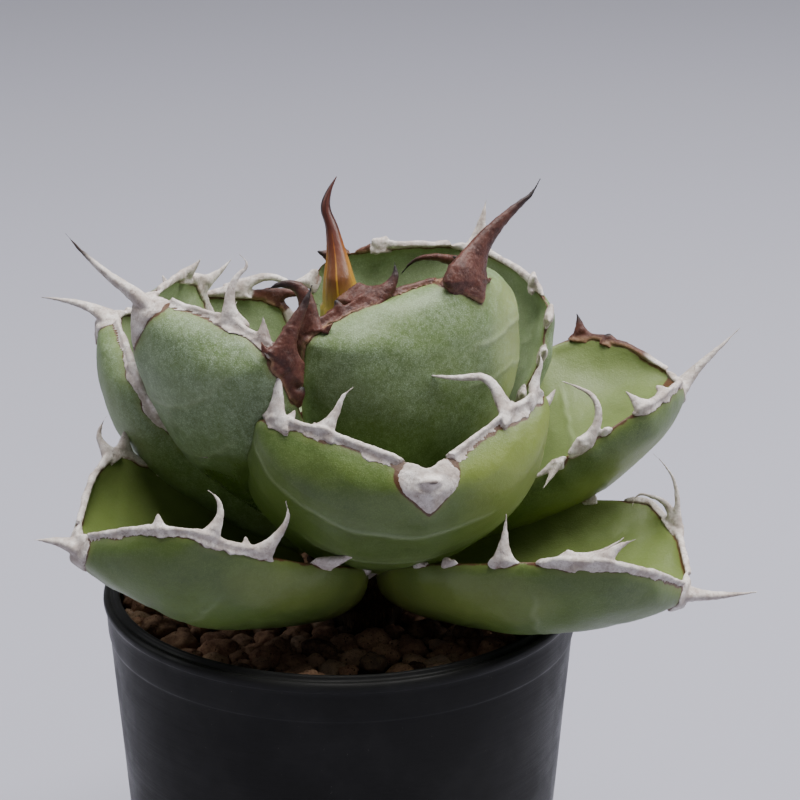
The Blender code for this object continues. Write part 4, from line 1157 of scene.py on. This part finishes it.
def make_bud():
    """The heart: rolled leaves that end in one bent point, flat on the side that faces out."""
    leaf = LEAVES["leaf_11"]
    rings = []
    places = []
    stations = 120
    sides = 40
    size, up, aside = leaf.spine
    end, _, left_way, inner = [v.ravel() for v in leaf.frame(np.array(1.0))]
    whole = leaf.length + size
    tip_line = [end]
    for k in range(40):
        tip_line.append(tip_line[-1] + picture_way(up, aside, (k + 0.5) / 40) * size / 40)
    tip_line = np.array(tip_line)
    for i in range(stations):
        x = i / (stations - 1) * whole
        if x < leaf.length:
            c, _, left, inn = [v.ravel() for v in leaf.frame(np.array(x / leaf.length))]
        else:
            g = (x - leaf.length) / size * 40
            c = np.array([np.interp(g, np.arange(41), tip_line[:, k]) for k in range(3)])
            left, inn = left_way, inner
        f = x / whole
        wide = along(((0.0, 4.6), (0.40, 5.8), (0.62, 4.6), (0.70, 3.5), (0.77, 2.3), (0.86, 1.4),
                      (0.91, 1.15),
                      (0.96, 0.6), (1.0, 0.12)), f)
        deep = wide * (0.85 if f < 0.6 else 0.75)
        ring = []
        for k in range(sides):
            a = 2 * math.pi * k / sides
            roll = 1 + 0.10 * math.cos(3 * a + 2.5 * f) * (1 - f)
            crease = 1 - 0.16 * math.exp(-((a - 1.35) / 0.16)**2) - 0.16 * math.exp(-((a - 5.1) / 0.16)**2)
            ring.append(c + (left * math.cos(a) * wide + inn * math.sin(a) * deep) * roll * crease)
            places.append((f, (a / math.pi - 1.0) * 2.0))
        rings.append(ring)
    points = np.array([p for ring in rings for p in ring])
    faces = tube_faces(stations, sides)
    faces.append(tuple(range(sides))[::-1])
    faces.append(tuple(range((stations - 1) * sides, stations * sides)))
    bud = place("leaf_11_bud", (points * MM, faces), bud_material())
    recalculated(bud)
    places = np.array(places)
    set_attribute(bud, "s", places[:, 0])
    set_attribute(bud, "t", places[:, 1])
    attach(bud, "root")
    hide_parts("leaf_11")


# ---- pot, mix and stem -----------------------------------------------------------------------------
def lathe(profile, segments, centre=(0.0, 0.0), ripple=None):
    """Points in millimetres and faces of a solid turned about the upright axis; both ends lie on it."""
    points = []
    first = (centre[0], centre[1], profile[0][1])
    last = (centre[0], centre[1], profile[-1][1])
    rings = profile[1:-1]
    for radius, height in rings:
        for k in range(segments):
            a = 2 * math.pi * k / segments
            r = radius + (ripple(radius, height, a) if ripple else 0.0)
            points.append((centre[0] + r * math.cos(a), centre[1] + r * math.sin(a), height))
    low = len(points)
    points.extend([first, last])
    faces = tube_faces(len(rings), segments)
    end = (len(rings) - 1) * segments
    for k in range(segments):
        m = (k + 1) % segments
        faces.append((low, m, k))
        faces.append((low + 1, end + k, end + m))
    return np.array(points), faces


def rounded(knots, steps=5):
    """A line through the knots with its corners rounded off."""
    out = [knots[0]]
    for a, b, c in zip(knots, knots[1:], knots[2:]):
        reach = 0.42
        start = (b[0] + (a[0] - b[0]) * reach, b[1] + (a[1] - b[1]) * reach)
        end = (b[0] + (c[0] - b[0]) * reach, b[1] + (c[1] - b[1]) * reach)
        for k in range(steps + 1):
            u = k / steps
            out.append(tuple((1 - u)**2 * start[i] + 2 * u * (1 - u) * b[i] + u**2 * end[i] for i in (0, 1)))
    out.append(knots[-1])
    return out


RIM_RADIUS = (POT_HIGH[0] - POT_LOW[0]) / 2
POT_TOP = POT_HIGH[2]
RIM_WIDTH = 3.2
RIM_HEIGHT = 2.6
FOOT_RADIUS = 38.0
WALL = 1.2
FLOOR = 2.0
DRAIN_HOLES = 8
DRAIN_RADIUS = 3.4
DRAIN_RING = 25.0       # from the pot's axis
PLACED_GRAINS = 26      # those with a CAD node of their own


def wall_radius(height):
    return FOOT_RADIUS + (RIM_RADIUS - 0.6 - FOOT_RADIUS) * height / (POT_TOP - RIM_HEIGHT)


def make_pot():
    rim = POT_TOP - RIM_HEIGHT
    mouth = RIM_RADIUS - RIM_WIDTH
    outside = [(wall_radius(h), h) for h in np.linspace(2.0, rim - 7.0, 14)]
    # a low step in the wall below the rim, where the mould's collar ends
    outside += [(wall_radius(rim - 6.2), rim - 6.2), (wall_radius(rim - 5.9) + 0.28, rim - 5.7),
                (wall_radius(rim - 3.0) + 0.22, rim - 3.0), (wall_radius(rim) + 0.05, rim - 0.35)]
    lip = [(RIM_RADIUS - 0.12, rim + 0.15), (RIM_RADIUS, rim + 0.7), (RIM_RADIUS - 0.1, rim + 1.35),
           (RIM_RADIUS - 0.75, rim + 1.95), (RIM_RADIUS - 1.35, rim + 1.62), (RIM_RADIUS - 1.8, rim + 1.95),
           (RIM_RADIUS - 2.1, rim + 2.48), (RIM_RADIUS - 2.55, rim + 2.60), (RIM_RADIUS - 3.0, rim + 2.35),
           (mouth, rim + 1.7), (mouth + 0.02, rim + 0.2), (wall_radius(rim - 2.0) - WALL, rim - 2.0)]
    inside = [(wall_radius(h) - WALL, h) for h in np.linspace(rim - 6.0, FLOOR + 1.5, 10)]
    knots = ([(0.0, 0.0), (24.0, 0.0), (FOOT_RADIUS - 1.4, 0.0), (FOOT_RADIUS - 0.2,
                                                                  0.9)] + outside + lip + inside
             + [(wall_radius(FLOOR) - WALL - 1.6, FLOOR), (24.0, FLOOR), (0.0, FLOOR)])

    def ripple(radius, height, a):
        wobble = 0.07 * noise.noise((math.cos(a) * 1.4, math.sin(a) * 1.4, height / 16.0))
        return wobble * float(smooth_step(0.0, 6.0,
                                          height)) * float(smooth_step(POT_TOP, POT_TOP - 5, height))

    points, faces = lathe(rounded(knots), 192, ripple=ripple)
    pot = place("pot_shell", (points * MM, faces), pot_material())
    recalculated(pot)
    drills = bmesh.new()
    for k in range(DRAIN_HOLES):
        a = 2 * math.pi * (k + 0.5) / DRAIN_HOLES
        made = bmesh.ops.create_cone(drills, cap_ends=True, segments=40, radius1=DRAIN_RADIUS * MM,
                                     radius2=DRAIN_RADIUS * MM, depth=12 * MM)
        bmesh.ops.translate(drills, verts=made["verts"],
                            vec=(DRAIN_RING * MM * math.cos(a), DRAIN_RING * MM * math.sin(a), 0.0))
    mesh = bpy.data.meshes.new("drills")
    drills.to_mesh(mesh)
    drills.free()
    cutter = bpy.data.objects.new("drills", mesh)
    bpy.context.scene.collection.objects.link(cutter)
    cut = pot.modifiers.new("drain_holes", "BOOLEAN")
    cut.operation = "DIFFERENCE"
    cut.solver = "EXACT"
    cut.object = cutter
    holed = bmesh.new()
    holed.from_object(pot, bpy.context.evaluated_depsgraph_get())
    pot.modifiers.clear()
    holed.to_mesh(pot.data)
    holed.free()
    bpy.data.objects.remove(cutter, do_unlink=True)
    pot.data.polygons.foreach_set("use_smooth", [True] * len(pot.data.polygons))
    pot.data.set_sharp_from_angle(angle=math.radians(50))
    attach(pot, "root")
    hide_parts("pot")


def grain_shape(seed, size):
    """Points in millimetres and faces of one porous grain, lumpy and a little angular."""
    ball = bmesh.new()
    bmesh.ops.create_icosphere(ball, subdivisions=4, radius=1.0)
    shift = Vector((seed * 3.1, seed * 1.7, seed * 0.9))
    points = []
    for v in ball.verts:
        p = v.co.copy()
        r = 1 + 0.30 * noise.noise(p * 0.9 + shift) + 0.17 * noise.noise(p * 2.1 + shift * 1.3)
        r += 0.075 * noise.noise(p * 4.6 + shift) + 0.035 * noise.noise(p * 10.0 + shift)
        cell = noise.cell_vector(p * 1.3 + shift)
        r += 0.03 * (cell.x - 0.5)
        points.append(p * r * size / 2)
    faces = [tuple(v.index for v in f.verts) for f in ball.faces]
    ball.free()
    return np.array(points), faces


def make_mix():
    pick = random.Random(11)
    top = SOIL_HIGH[2]
    radius = (SOIL_HIGH[0] - SOIL_LOW[0]) / 2
    material = grain_material()

    # the mix below: one body with a rough top
    outline = [(0.0, SOIL_LOW[2]), (radius - 7.5, SOIL_LOW[2]), (wall_radius(5.0) - WALL - 0.4, 5.0)]
    outline += [(wall_radius(h) - WALL - 0.4, h) for h in np.linspace(10, top - 1.2, 9)]
    outline += [(r, top - 0.6) for r in np.linspace(radius - 0.8, 1.0, 60)]
    outline += [(0.0, top - 0.6)]
    points, faces = lathe(outline, 160)
    upper = points[:, 2] > top - 0.9
    rough = 0.9 * lumps(points, 3.0, 4.2) + 0.5 * lumps(points, 5.0, 1.8)
    points[:, 2] += np.where(upper, rough - 0.5, 0.0)
    body = place("mix_body", (points * MM, faces), material)
    recalculated(body)
    # painted shade: the body that shows between the grains gets low shade values, so it comes out much darker
    # than the grains, standing in for the shadow in the gaps
    set_attribute(body, "shade", np.clip(-0.1 + 0.2 * lumps(points, 8.0, 3.0), -0.3, 1))
    set_attribute(body, "kind", np.clip(0.35 + 0.35 * lumps(points, 9.0, 2.5), 0, 1))
    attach(body, "root")
    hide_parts("soil")

    def lay(number, size, at):
        """Points and faces of a turned grain in its place, its shade and its kind."""
        points, faces = shapes[number % len(shapes)]
        spin = Vector((pick.uniform(-1, 1), pick.uniform(-1, 1), pick.uniform(-1, 1))).to_track_quat("Z", "Y")
        spin = np.array(spin.to_matrix())
        squash = np.array([1.0, pick.uniform(0.78, 1.0), pick.uniform(0.66, 0.85)])
        placed = (points @ spin.T) * squash * size + np.array(at)
        kind = pick.choice((0.05, 0.30, 0.35, 0.50, 0.55, 0.60, 0.80, 0.95))
        kind = min(max(kind + pick.uniform(-0.08, 0.08), 0.0), 1.0)
        return placed, faces, pick.uniform(0.25, 1.0), kind

    shapes = [grain_shape(k + 1, 1.0) for k in range(14)]
    taken = []
    fine_points, fine_faces, shades, kinds = [], [], [], []
    for number in range(1, PLACED_GRAINS + 1):
        node = f"grain_{number:02d}"
        low, high = box_mm(node)
        middle = (low + high) / 2
        size = float((high - low).max())
        points, faces, shade, kind = lay(number, size * 1.04, middle)
        grain = place(node + "_piece", (points * MM, faces), material)
        set_attribute(grain, "shade", [shade] * len(points))
        set_attribute(grain, "kind", [kind] * len(points))
        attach(grain, "root")
        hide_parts(node)
        taken.append((middle[0], middle[1], size))
    tries = 0
    # mean size, how far they stand out, how close they may lie, and how many are tried
    layers = ((6.4, 0.25, 0.84, 2200), (5.0, 0.50, 0.78, 2200), (3.4, 0.9, 0.70, 1800))
    for mean, lift, crowd, count in layers:
        for _ in range(count):
            tries += 1
            size = mean * pick.uniform(0.75, 1.22)
            a = pick.uniform(0, 2 * math.pi)
            r = math.sqrt(pick.uniform(6.5**2, (radius - 1.2)**2))
            if r + size * 0.5 > radius - 0.2:
                continue
            x, y = r * math.cos(a), r * math.sin(a)
            if (x - CROWN[0])**2 + (y - CROWN[1])**2 < (7.0 + size * 0.4)**2:
                continue
            if any((x - p)**2 + (y - q)**2 < (crowd * (size + d) / 2)**2 for p, q, d in taken):
                continue
            taken.append((x, y, size))
            z = top + lift * size * 0.5 + pick.uniform(-0.5, 0.7)
            points, faces, shade, kind = lay(tries, size, (x, y, z))
            base = sum(len(p) for p in fine_points)
            fine_points.append(points)
            fine_faces.extend(tuple(base + i for i in f) for f in faces)
            shades.extend([shade] * len(points))
            kinds.extend([kind] * len(points))
    dressing = place("mix_grains", (np.concatenate(fine_points) * MM, fine_faces), material)
    set_attribute(dressing, "shade", shades)
    set_attribute(dressing, "kind", kinds)
    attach(dressing, "root")
    print("grains laid", len(fine_points))


def make_stem():
    low = STEM_LOW[2]
    knots = ((low, 3.5), (low + 9, 9.8), (low + 18, 11.4), (SOIL_HIGH[2], 6.2), (CROWN[2] - 5, 7.6),
             (CROWN[2], STEM_RADIUS), (CROWN[2] + 8, 9.4), (CROWN[2] + 13, 7.0), (CROWN[2] + 16.6, 2.0))
    heights = np.linspace(low, CROWN[2] + 16.6, 90)
    profile = [(0.0, low)] + [(float(along(knots, h)), h) for h in heights] + [(0.0, CROWN[2] + 16.8)]

    def ripple(r, h, a):
        above = float(smooth_step(SOIL_HIGH[2], CROWN[2] - 4, h))
        scars = 0.35 * math.sin(h * 2.1 + 0.8 * math.sin(a * 2)) * above
        husk = 0.9 * noise.noise((math.cos(a) * 3.2, math.sin(a) * 3.2, h / 5.0))
        return (scars + husk) * min(1.0, r / 4)

    points, faces = lathe(profile, 96, (CROWN[0], CROWN[1]), ripple)
    stem = place("stem_core", (points * MM, faces), stem_material())
    recalculated(stem)
    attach(stem, "root")
    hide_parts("stem")


make_stage()
make_pot()
make_mix()
make_stem()
make_leaves()
make_bud()
